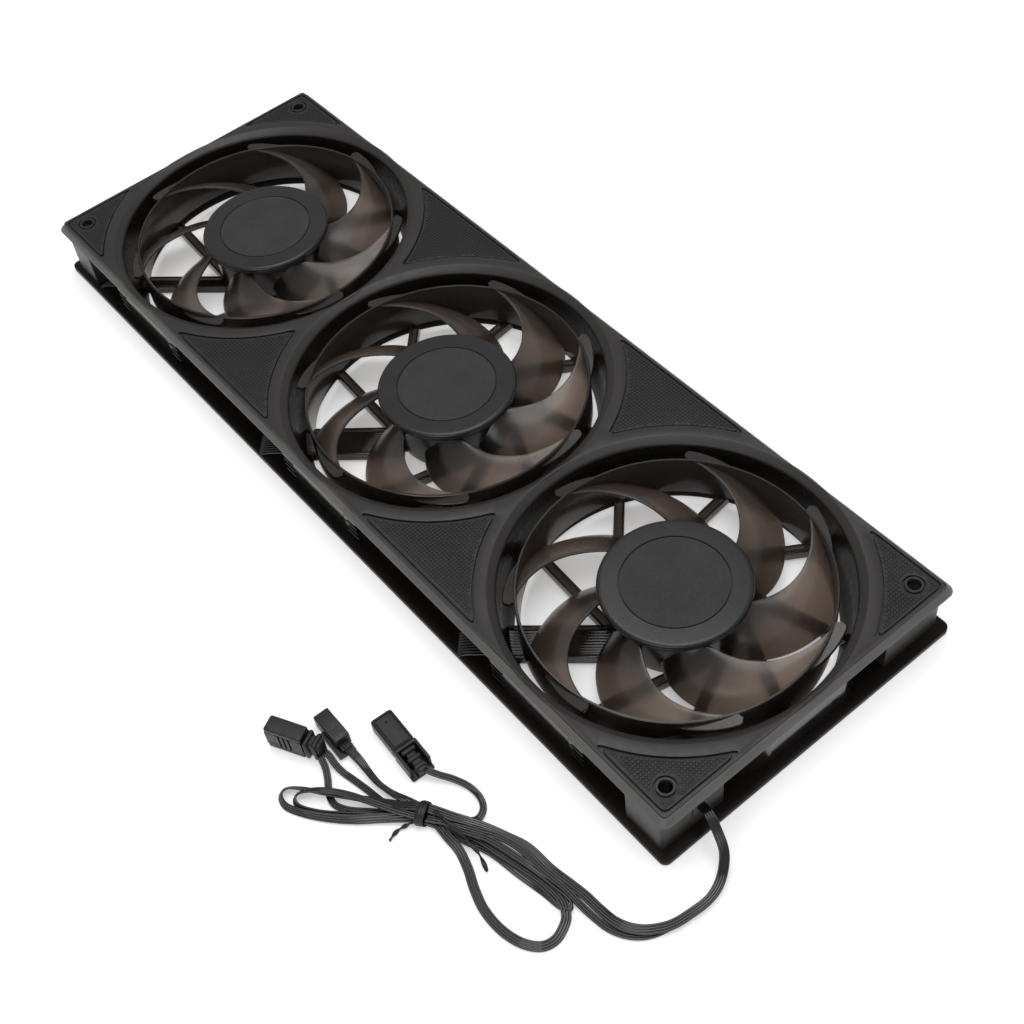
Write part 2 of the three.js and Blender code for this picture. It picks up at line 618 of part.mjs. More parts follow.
// ---- Free leads ---------------------------------------------------------------------------
// Each route is a list of [x, y, z] points of the lead's middle line. A route that ends in the
// hank is cut back from it.
const FAN_LEAD_ROUTE = [
  [178.9, -44.5, 12.3], [182.6, -44.7, 12], [187.4, -46, 9.9], [192.2, -47.9, 6.8],
  [195.6, -51.5, 4], [197.8, -55.9, 2.5], [198.6, -61, 2.2], [198.2, -67, 2.2], [197.2, -73, 2.2],
  [194.4, -78.5, 2.2], [190.6, -82.4, 2.2], [185.6, -84.8, 2.1], [179.4, -85.5, 1.6], [173.9, -85.8, 1.5],
  [168.4, -86.8, 2],
];
const LIGHT_LEAD_ROUTE = [
  [178.9, -44.5, 10.9], [182.2, -44.6, 10.6], [186.5, -45.7, 8.6], [191, -47.3, 5.6],
  [194.4, -50.9, 2.6], [196.8, -55.5, 1.1], [198, -61, 0.8], [197.8, -67, 0.8], [197, -73, 0.8],
  [195, -79.4, 0.8], [191.4, -84, 0.8], [186, -87.1, 0.8], [179.4, -88.3, 0.9], [173.9, -88.8, 1.5],
  [168.4, -89.1, 2],
];
const FAN_LOOP_ROUTE = [
  [170, -92, 2.4], [174.4, -93.8, 1.8], [176.5, -96.5, 1.1], [178, -101.1, 0.9], [176.7, -105.5, 0.9],
  [172.1, -109, 0.9], [165.1, -110.9, 0.9], [157.1, -110.8, 0.9], [150.1, -108.9, 0.9], [143.6, -106.3, 0.9],
  [137.1, -104.6, 1], [131.5, -104.6, 1.6], [126, -104, 2.4],
];
const FAN_TAIL_ROUTE = [
  [119, -105.2, 3], [114, -106.9, 3], [110, -108.3, 2.7], [106, -109.1, 1.9], [102, -109.7, 1.1],
  [97, -109.6, 0.9], [92.4, -109.4, 1.6], [88.8, -109.6, 2.6],
];
const LIGHT_TAIL_ROUTE = [
  [114, -111, 2], [111, -112, 1.4], [106, -112.8, 0.9], [101, -113.6, 0.8], [96, -114.6, 0.8],
  [91.6, -115.6, 0.9], [88, -116, 1.8], [85.2, -115.8, 3],
];
const LINK_IN_ROUTE = [
  [84.6, -118.4, 3], [87.6, -119.3, 1.9], [90.6, -120.8, 1.2], [95, -123.4, 1.6],
];
const LINK_OUT_ROUTE = [
  [128, -100, 3], [131.6, -97.2, 2.2], [133, -94, 1.2], [131.4, -90.6, 0.8], [127.4, -88.8, 0.8],
  [122, -89.1, 0.9], [117, -91.4, 1.7], [113.6, -93.8, 2.8], [111.2, -95.8, 3.4],
];

/** A flat lead as a plain swept strip with eight sides. */
function leadTube(route, width, thickness) {
  const curve = new THREE.CatmullRomCurve3(route.map((point) => new THREE.Vector3(...point)));
  const steps = Math.max(4, Math.round(curve.getLength() / (2.6 * width)));
  const rings = [];
  for (let i = 0; i <= steps; i++) {
    const middle = curve.getPointAt(i / steps);
    const along = curve.getTangentAt(i / steps);
    const across = new THREE.Vector3(-along.y, along.x, 0).normalize();
    const up = new THREE.Vector3().crossVectors(along, across).normalize();
    rings.push([[1, -0.4], [1, 0.4], [0.7, 1], [-0.7, 1], [-1, 0.4], [-1, -0.4], [-0.7, -1], [0.7, -1]]
      .map(([a, b]) => middle.clone()
        .addScaledVector(across, (a * width) / 2)
        .addScaledVector(up, (b * thickness) / 2)
        .toArray()));
  }
  return loft(rings);
}

// The tied hank's outline in plan, from its fold at the +X end round its two left loops.
const HANK_MIDDLE = [[174, -90.3], [160, -91.7], [148, -93.4], [139, -96.4], [130, -101],
  [121, -105.8], [111, -114.6], [104, -121.3], [97, -127.2], [88.8, -132]];
const HANK_HALF_WIDTH = [3.4, 4.8, 5.6, 5, 3.7, 2.9, 3.6, 5.2, 5.4, 4];
const TIE_POINT = 5;
const TIE_HEADING = 34;

/** The hank as one closed solid: a strip of changing width with round ends. */
function hankSolid(clearance) {
  const middle = HANK_MIDDLE.map(([x, y]) => new THREE.Vector2(x, y));
  const along = middle.map((point, i) => {
    const before = middle[Math.max(i - 1, 0)];
    const after = middle[Math.min(i + 1, middle.length - 1)];
    return after.clone().sub(before).normalize();
  });
  const edge = (i, turn, reach) => {
    const angle = Math.atan2(along[i].y, along[i].x) + radians(turn);
    const direction = new THREE.Vector2(Math.cos(angle), Math.sin(angle));
    return middle[i].clone().addScaledVector(direction, reach + clearance);
  };
  const last = middle.length - 1;
  const outline = [];
  for (let i = 0; i <= last; i++) outline.push(edge(i, 90, HANK_HALF_WIDTH[i]));
  for (const turn of [60, 30, 0, -30, -60]) outline.push(edge(last, turn, HANK_HALF_WIDTH[last]));
  for (let i = last; i >= 0; i--) outline.push(edge(i, -90, HANK_HALF_WIDTH[i]));
  for (const turn of [-130, 180, 130]) outline.push(edge(0, turn, HANK_HALF_WIDTH[0]));
  return prism(new THREE.Shape(outline), HANK_BOTTOM - clearance, HANK_TOP + clearance);
}

/** The twist tie: a flat band round the hank and its two free ends, joined to one body. */
function tieSolid() {
  const [x, y] = HANK_MIDDLE[TIE_POINT];
  const half = HANK_HALF_WIDTH[TIE_POINT] + 0.6;
  const outer = box([-1.2, -half - 0.6, 0.1], [1.2, half + 0.6, HANK_TOP + GAP + 0.6]);
  const inner = box([-2, -half, HANK_BOTTOM - GAP], [2, half, HANK_TOP + GAP]);
  const tail = leadTube([[0.6, -half - 0.2, 1.4], [1.2, -6, 1], [3.4, -8.8, 0.8], [6, -11, 0.8]], 1.6, 1);
  return outer.subtract(inner).add(tail).rotate([0, 0, TIE_HEADING]).translate([x, y, 0]);
}

function addLeads() {
  const clearOfHank = hankSolid(GAP);
  const leads = [
    ["fan_lead", FAN_LEAD_ROUTE, FAN_LEAD_WIDTH],
    ["fan_lead_loop", FAN_LOOP_ROUTE, FAN_LEAD_WIDTH],
    ["fan_lead_tail", FAN_TAIL_ROUTE, FAN_LEAD_WIDTH],
    ["light_lead", LIGHT_LEAD_ROUTE, LIGHT_LEAD_WIDTH],
    ["light_lead_tail", LIGHT_TAIL_ROUTE, LIGHT_LEAD_WIDTH],
    ["link_lead_in", LINK_IN_ROUTE, LIGHT_LEAD_WIDTH],
    ["link_lead_out", LINK_OUT_ROUTE, LIGHT_LEAD_WIDTH],
  ];
  for (const [name, route, width] of leads) {
    addPiece(model, name, leadTube(route, width, LEAD_THICKNESS).subtract(clearOfHank), LEAD);
  }
  addPiece(model, "lead_hank", hankSolid(0), LEAD);
  addPiece(model, "twist_tie", tieSolid(), LEAD);
}

// ---- Connectors ---------------------------------------------------------------------------
/** A connector's piece in place: each is built along +X with the cable end of its shell at 0. */
function inPlace(body, connector) {
  return body.rotate([0, 0, connector.heading]).translate([connector.x, connector.y, 0]);
}
const FAN_PLUG = { x: 84, y: -109.7, heading: 179 };
const LIGHT_SOCKET = { x: 77.6, y: -119, heading: 207.7 };
const LIGHT_PLUG = { x: 99, y: -96.4, heading: 177 };

/** Four-pin fan plug: a box open at its mating end, with key rails and a strain-relief tongue. */
function fanPlugSolid() {
  const shell = box([0, -2.8, 0.2], [12.6, 2.8, 5.8]);
  const rail = box([-3.4, 2.7, 0.2], [7.6, 4, 3.2]);
  const key = box([3, -3.3, 1.6], [9, -2.7, 3.2]);
  const tongue = box([-3.8, -2.2, 0.8], [0.5, 2.9, 1.6]);
  const pins = box([9.6, -2.1, 1.4], [13.6, 2.1, 4.6]);
  return shell.add(rail).add(key).add(tongue).subtract(pins);
}

/** Light socket: a moulded block with grip grooves down its sides, open at its mating end. */
function lightSocketSolid() {
  let body = box([0, -2.9, 0.2], [13.4, 2.9, 10.8]);
  for (let k = 0; k < 3; k++) {
    for (const side of [-1, 1]) {
      const from = 1.6 + 2 * k;
      const groove = [[from, side * 3.2 - 0.6, 2.4], [from + 0.8, side * 3.2 + 0.6, 8.6]];
      body = body.subtract(box(...groove));
    }
  }
  return body.subtract(box([10.4, -1.8, 1.6], [14, 1.8, 9.4]));
}

/** A ribbed boot that eases the leads into a connector, its last rib the narrowest. */
function bootSolid(length, halfWidth, low, high, ribs) {
  const core = halfWidth * 0.7;
  let body = box([-length, -core, low + 0.9], [-GAP, core, high - 0.9]);
  const pitch = length / ribs;
  for (let k = 0; k < ribs; k++) {
    const reach = halfWidth * (1 - 0.1 * k);
    const near = -GAP - k * pitch;
    const rib = box([near - 0.55 * pitch, -reach, low + 0.2 * k], [near, reach, high - 0.2 * k]);
    body = body.add(rib);
  }
  return body;
}

/** The light plug's clip frame, open on top, with the boot in its window. */
function clipFrameSolid() {
  const frame = box([-9.6, -4.2, 0.2], [-GAP, 4.2, 6]);
  return frame.subtract(box([-11, -3.1, 1.3], [-1.4, 3.1, 7]));
}

function addConnectors() {
  addPiece(model, "fan_plug", inPlace(fanPlugSolid(), FAN_PLUG), BLACK_PLASTIC);
  addPiece(model, "light_socket", inPlace(lightSocketSolid(), LIGHT_SOCKET), BLACK_PLASTIC);
  const socketBoot = bootSolid(6, 3.2, 0.8, 9.6, 2);
  addPiece(model, "light_socket_boot", inPlace(socketBoot, LIGHT_SOCKET), RUBBER);
  const cap = box([0, -4, 0.2], [13.8, 4, 6]);
  addPiece(model, "light_plug_cap", inPlace(cap, LIGHT_PLUG), BLACK_PLASTIC);
  addPiece(model, "light_plug", inPlace(clipFrameSolid(), LIGHT_PLUG), BLACK_PLASTIC);
  const plugBoot = bootSolid(9.6, 2.5, 1.7, 5.3, 4).translate([-1.5, 0, 0]);
  addPiece(model, "light_plug_boot", inPlace(plugBoot, LIGHT_PLUG), RUBBER);
}

// ---- Assembly -----------------------------------------------------------------------------
addPiece(model, "frame", frameSolid(), SMOKE);
addPads();
addPiece(model, "inner_harness", harnessSolid(0), LEAD);
addPiece(model, "cable_gland", glandSolid(0), RUBBER);
for (const fan of FANS) {
  addMotor(fan);
  addRotor(fan);
}
addLeads();
addConnectors();

export default model;
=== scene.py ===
"""A three-rotor fan unit for a liquid-cooling radiator, lying on a pale floor with its leads tied in a hank.

Sizes are in millimetres until a mesh is made, which is in metres. +X runs along the row of fans
to the end where the leads come out, and +Z is up.
"""
import math

import bmesh
import bpy
from mathutils import Matrix, Vector
from mathutils.geometry import delaunay_2d_cdt


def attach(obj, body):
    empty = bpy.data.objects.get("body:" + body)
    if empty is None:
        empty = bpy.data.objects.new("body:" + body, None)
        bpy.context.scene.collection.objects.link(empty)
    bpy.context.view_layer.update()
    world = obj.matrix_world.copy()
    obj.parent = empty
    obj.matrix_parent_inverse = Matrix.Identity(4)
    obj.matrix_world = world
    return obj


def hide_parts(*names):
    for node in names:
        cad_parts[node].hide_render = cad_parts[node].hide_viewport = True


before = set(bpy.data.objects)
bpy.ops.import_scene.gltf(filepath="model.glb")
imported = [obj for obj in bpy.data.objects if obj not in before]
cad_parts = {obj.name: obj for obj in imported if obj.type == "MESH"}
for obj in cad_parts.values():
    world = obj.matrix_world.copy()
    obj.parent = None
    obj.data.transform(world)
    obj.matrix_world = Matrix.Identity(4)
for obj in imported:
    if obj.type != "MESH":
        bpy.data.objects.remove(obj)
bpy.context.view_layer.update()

MM = 0.001

# ---- Sizes ----
FAN_PITCH = 120
HALF_LENGTH = 180
HALF_WIDTH = 60
TOP = 25
DECK_BOTTOM = 22.5
FLANGE_TOP = 2.5
FLANGE_REACH = 2.4
BORE = 57.5
SCREW = (172.5, 52.5)
SCREW_RADIUS = 2.15
PAD_EDGE = 58.4
PAD_ARC = 65
ARM_RADIUS = 52
ARM_OFFSET = 19.5
ARM_END = 53.6
ARMS = 9
ARM_TURN = 360 / ARMS
FIRST_ARM = 39
LEAD_ARM = 5
FANS = (
    dict(number=1, x=120, phase=30.1, arm_width=13, arm_offset=10.4),
    dict(number=2, x=0, phase=21.6, arm_width=13, arm_offset=10.4),
    dict(number=3, x=-120, phase=0, arm_width=6.4, arm_offset=12),
)


# ---- Shapes: a shape is a pair of lists, corners in millimetres and faces ----
def joined(*shapes):
    corners, faces = [], []
    for more_corners, more_faces in shapes:
        start = len(corners)
        corners.extend(more_corners)
        faces.extend([tuple(start + i for i in face) for face in more_faces])
    return corners, faces


def placed(shape, x=0, y=0, z=0, turn=0):
    """The shape turned about Z by degrees, then moved."""
    matrix = Matrix.Translation((x, y, z)) @ Matrix.Rotation(math.radians(turn), 4, "Z")
    return [matrix @ Vector(corner) for corner in shape[0]], shape[1]


def flipped(shape):
    """The shape mirrored top to bottom."""
    return [Vector((c[0], c[1], -c[2])) for c in shape[0]], shape[1]


def grid(rows, wrap_rows=False):
    """Faces between rows of points, each row a closed loop."""
    columns = len(rows[0])
    corners = [point for row in rows for point in row]
    faces = []
    for i in range(len(rows) if wrap_rows else len(rows) - 1):
        for j in range(columns):
            a, b = i * columns, (i + 1) % len(rows) * columns
            k = (j + 1) % columns
            faces.append((a + j, a + k, b + k, b + j))
    return corners, faces


def revolved(profile, steps=96):
    """A solid of revolution from a closed profile of (radius, z)."""
    rows = []
    for i in range(steps):
        angle = 2 * math.pi * i / steps
        rows.append([Vector((r * math.cos(angle), r * math.sin(angle), z)) for r, z in profile])
    return grid(rows, wrap_rows=True)


def arc(x, y, radius, start, end, steps):
    """Points on an arc, its angles in degrees."""
    points = []
    for i in range(steps + 1):
        angle = math.radians(start + (end - start) * i / steps)
        points.append(Vector((x + radius * math.cos(angle), y + radius * math.sin(angle))))
    return points


def circle(x, y, radius, steps=24):
    return arc(x, y, radius, 0, 360 - 360 / steps, steps - 1)


def rounded_rectangle(half_x, half_y, radius, x=0, y=0, steps=6):
    points = []
    for k, (sx, sy) in enumerate(((1, 1), (-1, 1), (-1, -1), (1, -1))):
        middle = x + sx * (half_x - radius), y + sy * (half_y - radius)
        points += arc(*middle, radius, 90 * k, 90 * k + 90, steps)
    return points


def bend(start, corner, end, steps=4):
    """Points on the quadratic curve that rounds a corner."""
    a, b, c = Vector(start), Vector(corner), Vector(end)
    shares = [i / steps for i in range(steps + 1)]
    return [a * (1 - t) ** 2 + b * 2 * t * (1 - t) + c * t**2 for t in shares]


def grown(outline, distance):
    """A counter-clockwise outline moved outwards by a distance."""
    points = []
    count = len(outline)
    for i, here in enumerate(outline):
        before = (here - outline[i - 1]).normalized()
        after = (outline[(i + 1) % count] - here).normalized()
        one, two = Vector((before.y, -before.x)), Vector((after.y, -after.x))
        points.append(here + (one + two) * distance / max(0.3, 1 + one.dot(two)))
    return points


def inside(point, outline):
    odd = False
    for i, b in enumerate(outline):
        a = outline[i - 1]
        if (a.y > point.y) != (b.y > point.y):
            if point.x < (b.x - a.x) * (point.y - a.y) / (b.y - a.y) + a.x:
                odd = not odd
    return odd


def filled(outlines, z):
    """A flat face inside the first outline and outside the others."""
    points = [point for outline in outlines for point in outline]
    edges = []
    for outline in outlines:
        start = len(edges)
        edges += [(start + i, start + (i + 1) % len(outline)) for i in range(len(outline))]
    made = delaunay_2d_cdt(points, edges, [], 1, 1e-7)
    corners = made[0]
    faces = []
    for face in made[2]:
        middle = sum((corners[i] for i in face), Vector((0, 0))) / len(face)
        if inside(middle, outlines[0]) and not any(inside(middle, o) for o in outlines[1:]):
            faces.append(tuple(face))
    return [Vector((c.x, c.y, z)) for c in corners], faces


def wall(outline, profile, hole):
    """The side of a plate, and its first and last outlines. A profile is (inset, z) rows."""
    sign = 1 if hole else -1
    lines = [grown(outline, sign * inset) for inset, _ in profile]
    rows = [[Vector((p.x, p.y, z)) for p in line] for line, (_, z) in zip(lines, profile)]
    return grid(rows), lines[0], lines[-1]


def edge(top, bottom, rounding):
    """Profile rows of a plate's side with rounded edges."""
    rows = [(rounding * (1 - math.sin(t)), top - rounding * (1 - math.cos(t)))
            for t in (math.radians(a) for a in (0, 30, 60, 90))]
    rows += [(rounding * (1 - math.cos(t)), bottom + rounding * (1 - math.sin(t)))
             for t in (math.radians(a) for a in (0, 45, 90))]
    return rows


def plate(outer, profile, holes=(), pockets=()):
    """A plate with through holes, (outline, profile), and pockets, (outline, profile, holes)."""
    top, bottom = profile[0][1], profile[-1][1]
    side, top_line, bottom_line = wall(outer, profile, False)
    shapes = [side]
    top_lines, bottom_lines = [top_line], [bottom_line]
    for outline, rows in holes:
        side, first, last = wall(outline, rows, True)
        shapes.append(side)
        top_lines.append(first)
        bottom_lines.append(last)
    for outline, rows, pocket_holes in pockets:
        side, first, last = wall(outline, rows, True)
        shapes.append(side)
        top_lines.append(first)
        floor_lines = [last]
        for hole_outline, hole_rows in pocket_holes:
            side, first, last = wall(hole_outline, hole_rows, True)
            shapes.append(side)
            floor_lines.append(first)
            bottom_lines.append(last)
        shapes.append(filled(floor_lines, rows[-1][1]))
    return joined(filled(top_lines, top), filled(bottom_lines, bottom), *shapes)


def block(low, high, rounding=0.3):
    """A box with rounded edges."""
    half_x, half_y = (high[0] - low[0]) / 2, (high[1] - low[1]) / 2
    middle = (high[0] + low[0]) / 2, (high[1] + low[1]) / 2
    outline = rounded_rectangle(half_x, half_y, rounding, *middle, steps=3)
    return plate(outline, edge(high[2], low[2], rounding * 0.8))


def smooth_route(route, spacing):
    """Evenly spaced points on one smooth curve through a route's points of any dimension."""
    points = [Vector(point) for point in route]
    ends = [points[0] * 2 - points[1], *points, points[-1] * 2 - points[-2]]
    dense = []
    for a, b, c, d in zip(ends, ends[1:], ends[2:], ends[3:]):
        for i in range(16):
            t = i / 16
            dense.append(0.5 * (2 * b + (c - a) * t + (2 * a - 5 * b + 4 * c - d) * t**2
                                + (3 * b - a - 3 * c + d) * t**3))
    dense.append(points[-1])
    reach = [0.0]
    for a, b in zip(dense, dense[1:]):
        reach.append(reach[-1] + (b - a).xyz.length)
    count = max(2, round(reach[-1] / spacing))
    even, k = [], 0
    for i in range(count + 1):
        want = reach[-1] * i / count
        while k < len(reach) - 2 and reach[k + 1] < want:
            k += 1
        share = (want - reach[k]) / max(1e-9, reach[k + 1] - reach[k])
        even.append(dense[k].lerp(dense[k + 1], min(1, share)))
    return even


def swept(path, section, shrink_ends=0.0):
    """A section of (across, up) points along a path of (x, y, z, roll) points, with flat ends."""
    rows = []
    last = len(path) - 1
    for i, here in enumerate(path):
        along = (path[min(i + 1, last)] - path[max(i - 1, 0)]).xyz.normalized()
        across = Vector((-along.y, along.x, 0)).normalized()
        up = along.cross(across)
        roll = math.radians(here[3])
        side = across * math.cos(roll) + up * math.sin(roll)
        top = up * math.cos(roll) - across * math.sin(roll)
        scale = 1 - shrink_ends if i in (0, last) else 1
        rows.append([here.xyz + scale * (side * a + top * b) for a, b in section])
    corners, faces = grid(rows)
    count = len(section)
    faces += [tuple(reversed(range(count))), tuple(range(last * count, (last + 1) * count))]
    return corners, faces


def ribbon_section(wires, pitch, radius):
    """The outline of parallel round wires joined side by side."""
    points = []
    for side in (1, -1):
        for k in range(wires):
            middle = side * pitch * (k - (wires - 1) / 2)
            for angle in (150, 120, 90, 60, 30):
                a = math.radians(angle)
                points.append((middle + side * radius * math.cos(a), side * radius * math.sin(a)))
    return points


# ---- Materials ----
PLASTIC_INDEX = 1.49


class Look:
    """A procedural material: a Principled shader and the nodes that drive it."""

    def __init__(self, name, color, roughness, **sockets):
        self.material = bpy.data.materials.new(name)
        self.material.use_nodes = True
        self.nodes = self.material.node_tree.nodes
        self.links = self.material.node_tree.links
        self.shader = self.nodes["Principled BSDF"]
        self.shader.inputs["Base Color"].default_value = (*color, 1)
        self.shader.inputs["Roughness"].default_value = roughness
        for socket, value in sockets.items():
            self.shader.inputs[socket.replace("_", " ")].default_value = value
        self.place = self.nodes.new("ShaderNodeTexCoord").outputs["Object"]

    def noise(self, scale, detail, stretch=None):
        node = self.nodes.new("ShaderNodeTexNoise")
        node.inputs["Scale"].default_value = scale
        node.inputs["Detail"].default_value = detail
        source = self.place
        if stretch:
            mapping = self.nodes.new("ShaderNodeMapping")
            mapping.inputs["Scale"].default_value = stretch
            self.links.new(source, mapping.inputs["Vector"])
            source = mapping.outputs["Vector"]
        self.links.new(source, node.inputs["Vector"])
        return node.outputs["Fac"]

    def from_axis(self):
        """How far a place is from the nearest fan's axis, in metres."""
        split = self.nodes.new("ShaderNodeSeparateXYZ")
        self.links.new(self.place, split.inputs["Vector"])
        near = self.nodes.new("ShaderNodeMath")
        near.operation = "WRAP"
        near.inputs[1].default_value = FAN_PITCH * MM / 2
        near.inputs[2].default_value = -FAN_PITCH * MM / 2
        self.links.new(split.outputs["X"], near.inputs[0])
        flat = self.nodes.new("ShaderNodeCombineXYZ")
        self.links.new(near.outputs["Value"], flat.inputs["X"])
        self.links.new(split.outputs["Y"], flat.inputs["Y"])
        length = self.nodes.new("ShaderNodeVectorMath")
        length.operation = "LENGTH"
        self.links.new(flat.outputs["Vector"], length.inputs[0])
        return length.outputs["Value"]

    def ramp(self, source, low, high, start=0.35, end=0.65):
        """Colours or numbers from low to high as the source goes from start to end."""
        node = self.nodes.new("ShaderNodeValToRGB")
        stops = node.color_ramp.elements
        for stop, place, value in ((stops[0], start, low), (stops[1], end, high)):
            stop.position = place
            stop.color = (*value, 1) if hasattr(value, "__len__") else (value, value, value, 1)
        self.links.new(source, node.inputs["Fac"])
        return node.outputs["Color"]

    def tint(self, source):
        self.links.new(source, self.shader.inputs["Base Color"])

    def rough(self, source):
        self.links.new(source, self.shader.inputs["Roughness"])

    def bump(self, source, height, strength):
        """Adds relief of a height in metres."""
        node = self.nodes.new("ShaderNodeBump")
        node.inputs["Distance"].default_value = height
        node.inputs["Strength"].default_value = strength
        self.links.new(source, node.inputs["Height"])
        self.links.new(node.outputs["Normal"], self.shader.inputs["Normal"])


def smoke(name, color, low, high, clear, grain=0, index=PLASTIC_INDEX):
    """Smoke-tinted clear plastic, its roughness going from low to high."""
    look = Look(name, color, low, Transmission_Weight=clear, IOR=index)
    look.rough(look.ramp(look.noise(420, 2), low, high))
    darker = tuple(0.84 * value for value in color)
    look.tint(look.ramp(look.noise(45, 2), darker, color))
    if grain:
        look.bump(look.noise(grain, 3), 0.00003, 0.4)
    return look.material


def blade_smoke_with_painted_hub_shade():
    """The blades' smoke plastic, clearer towards the tips, with painted shade that turns it nearly black near
    the hub.
    """
    look = Look("smoke_blade", (0.2, 0.15, 0.12), 0.24, Transmission_Weight=0.84,
                IOR=PLASTIC_INDEX)
    look.rough(look.ramp(look.noise(420, 2), 0.24, 0.265))
    # Painted shade: the colour darkens to nearly black near the hub, standing in for the motor base's shade
    # seen through the blade.
    look.tint(look.ramp(look.from_axis(), (0.035, 0.026, 0.021), (0.21, 0.158, 0.128), 0.024, 0.041))
    return look.material


def satin_black(name, color, low, high, grain, height, index=1.45):
    """Fine-grained opaque plastic."""
    look = Look(name, color, low, IOR=index)
    look.bump(look.noise(grain, 3), height, 0.5)
    look.rough(look.ramp(look.noise(700, 3), low, high))
    lighter = tuple(1.25 * value for value in color)
    look.tint(look.ramp(look.noise(90, 3), color, lighter))
    return look.material


def metal(name, color, roughness):
    """Plain metal with fine turning marks."""
    look = Look(name, color, roughness, Metallic=1.0)
    look.bump(look.noise(2500, 2, stretch=(1, 1, 12)), 0.00001, 0.3)
    look.rough(look.ramp(look.noise(500, 2), roughness * 0.8, roughness * 1.2))
    return look.material


DECK = smoke("smoke_textured", (0.05, 0.044, 0.041), 0.4, 0.48, 0.7, 5200)
# Painted highlight: the band's grey is much lighter than the deck's plastic, standing in for the sheen its
# sloped, textured face catches.
BAND_WITH_PAINTED_SHEEN = smoke("smoke_band_painted_highlight", (0.17, 0.164, 0.161), 0.36, 0.46, 0.5, 5200)
GLOSS = smoke("smoke_glossy", (0.009, 0.008, 0.0075), 0.09, 0.14, 0)
BORE_WALL = smoke("smoke_bore", (0.009, 0.007, 0.006), 0.26, 0.34, 0, index=1.18)
ARM = smoke("smoke_arm", (0.14, 0.103, 0.083), 0.16, 0.22, 0.8)
RING = smoke("smoke_ring", (0.085, 0.063, 0.052), 0.2, 0.26, 0.82)
BLADE = blade_smoke_with_painted_hub_shade()
CAP = satin_black("hub_plastic", (0.0115, 0.0115, 0.0117), 0.26, 0.31, 5200, 0.000004)
BADGE = satin_black("badge_plastic", (0.026, 0.025, 0.026), 0.75, 0.85, 2600, 0.00001)
RUBBER = satin_black("pad_rubber", (0.011, 0.011, 0.011), 0.5, 0.62, 3000, 0.00002)
BOOT = satin_black("boot_rubber", (0.006, 0.006, 0.006), 0.42, 0.55, 3000, 0.00002)
WIRE = satin_black("lead_vinyl", (0.003, 0.003, 0.003), 0.08, 0.12, 1500, 0.000002, index=1.6)
TIE = satin_black("tie_vinyl", (0.005, 0.005, 0.005), 0.4, 0.5, 1500, 0.00002)
SHELL = satin_black("connector_nylon", (0.009, 0.009, 0.009), 0.38, 0.5, 3600, 0.00003)


# ---- Pieces ----
def piece(name, shape, material, body="root", replaces=(), sharp=32):
    """A mesh object from a shape in millimetres, riding on a body."""
    mesh = bpy.data.meshes.new(name)
    mesh.from_pydata([Vector(c) * MM for c in shape[0]], [], shape[1])
    made = bmesh.new()
    made.from_mesh(mesh)
    bmesh.ops.remove_doubles(made, verts=made.verts, dist=2e-6)
    bmesh.ops.dissolve_degenerate(made, dist=1e-6, edges=made.edges)
    bmesh.ops.recalc_face_normals(made, faces=made.faces)
    made.to_mesh(mesh)
    made.free()
    mesh.materials.append(material)
    mesh.shade_smooth()
    mesh.set_sharp_from_angle(angle=math.radians(sharp))
    obj = bpy.data.objects.new(name, mesh)
    bpy.context.scene.collection.objects.link(obj)
    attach(obj, body)
    if replaces:
        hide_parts(*replaces)
    return obj


def second_look(obj, fan, material, radius):
    """Gives the faces further than a radius from the fan's axis another material."""
    obj.data.materials.append(material)
    for face in obj.data.polygons:
        across = Vector((face.center.x - fan["x"] * MM, face.center.y))
        face.material_index = int(across.length > radius * MM)


# ---- Camera ----
def make_camera():
    camera = bpy.data.objects.new("camera", bpy.data.cameras.new("camera"))
    bpy.context.scene.collection.objects.link(camera)
    camera.location = (0.33416, -0.19373, 0.42442)
    camera.rotation_euler = [math.radians(angle) for angle in (38.478, 5.324, 50.796)]
    camera.data.sensor_width = 36
    camera.data.lens = 54.15
    camera.data.clip_start = 0.01
    bpy.context.scene.camera = camera


make_camera()

# ---- Leads ----
# The fourth number of a point is how far the ribbon is turned on its edge, in degrees.
WIRE_PITCH = 0.8
WIRE_RADIUS = 0.415

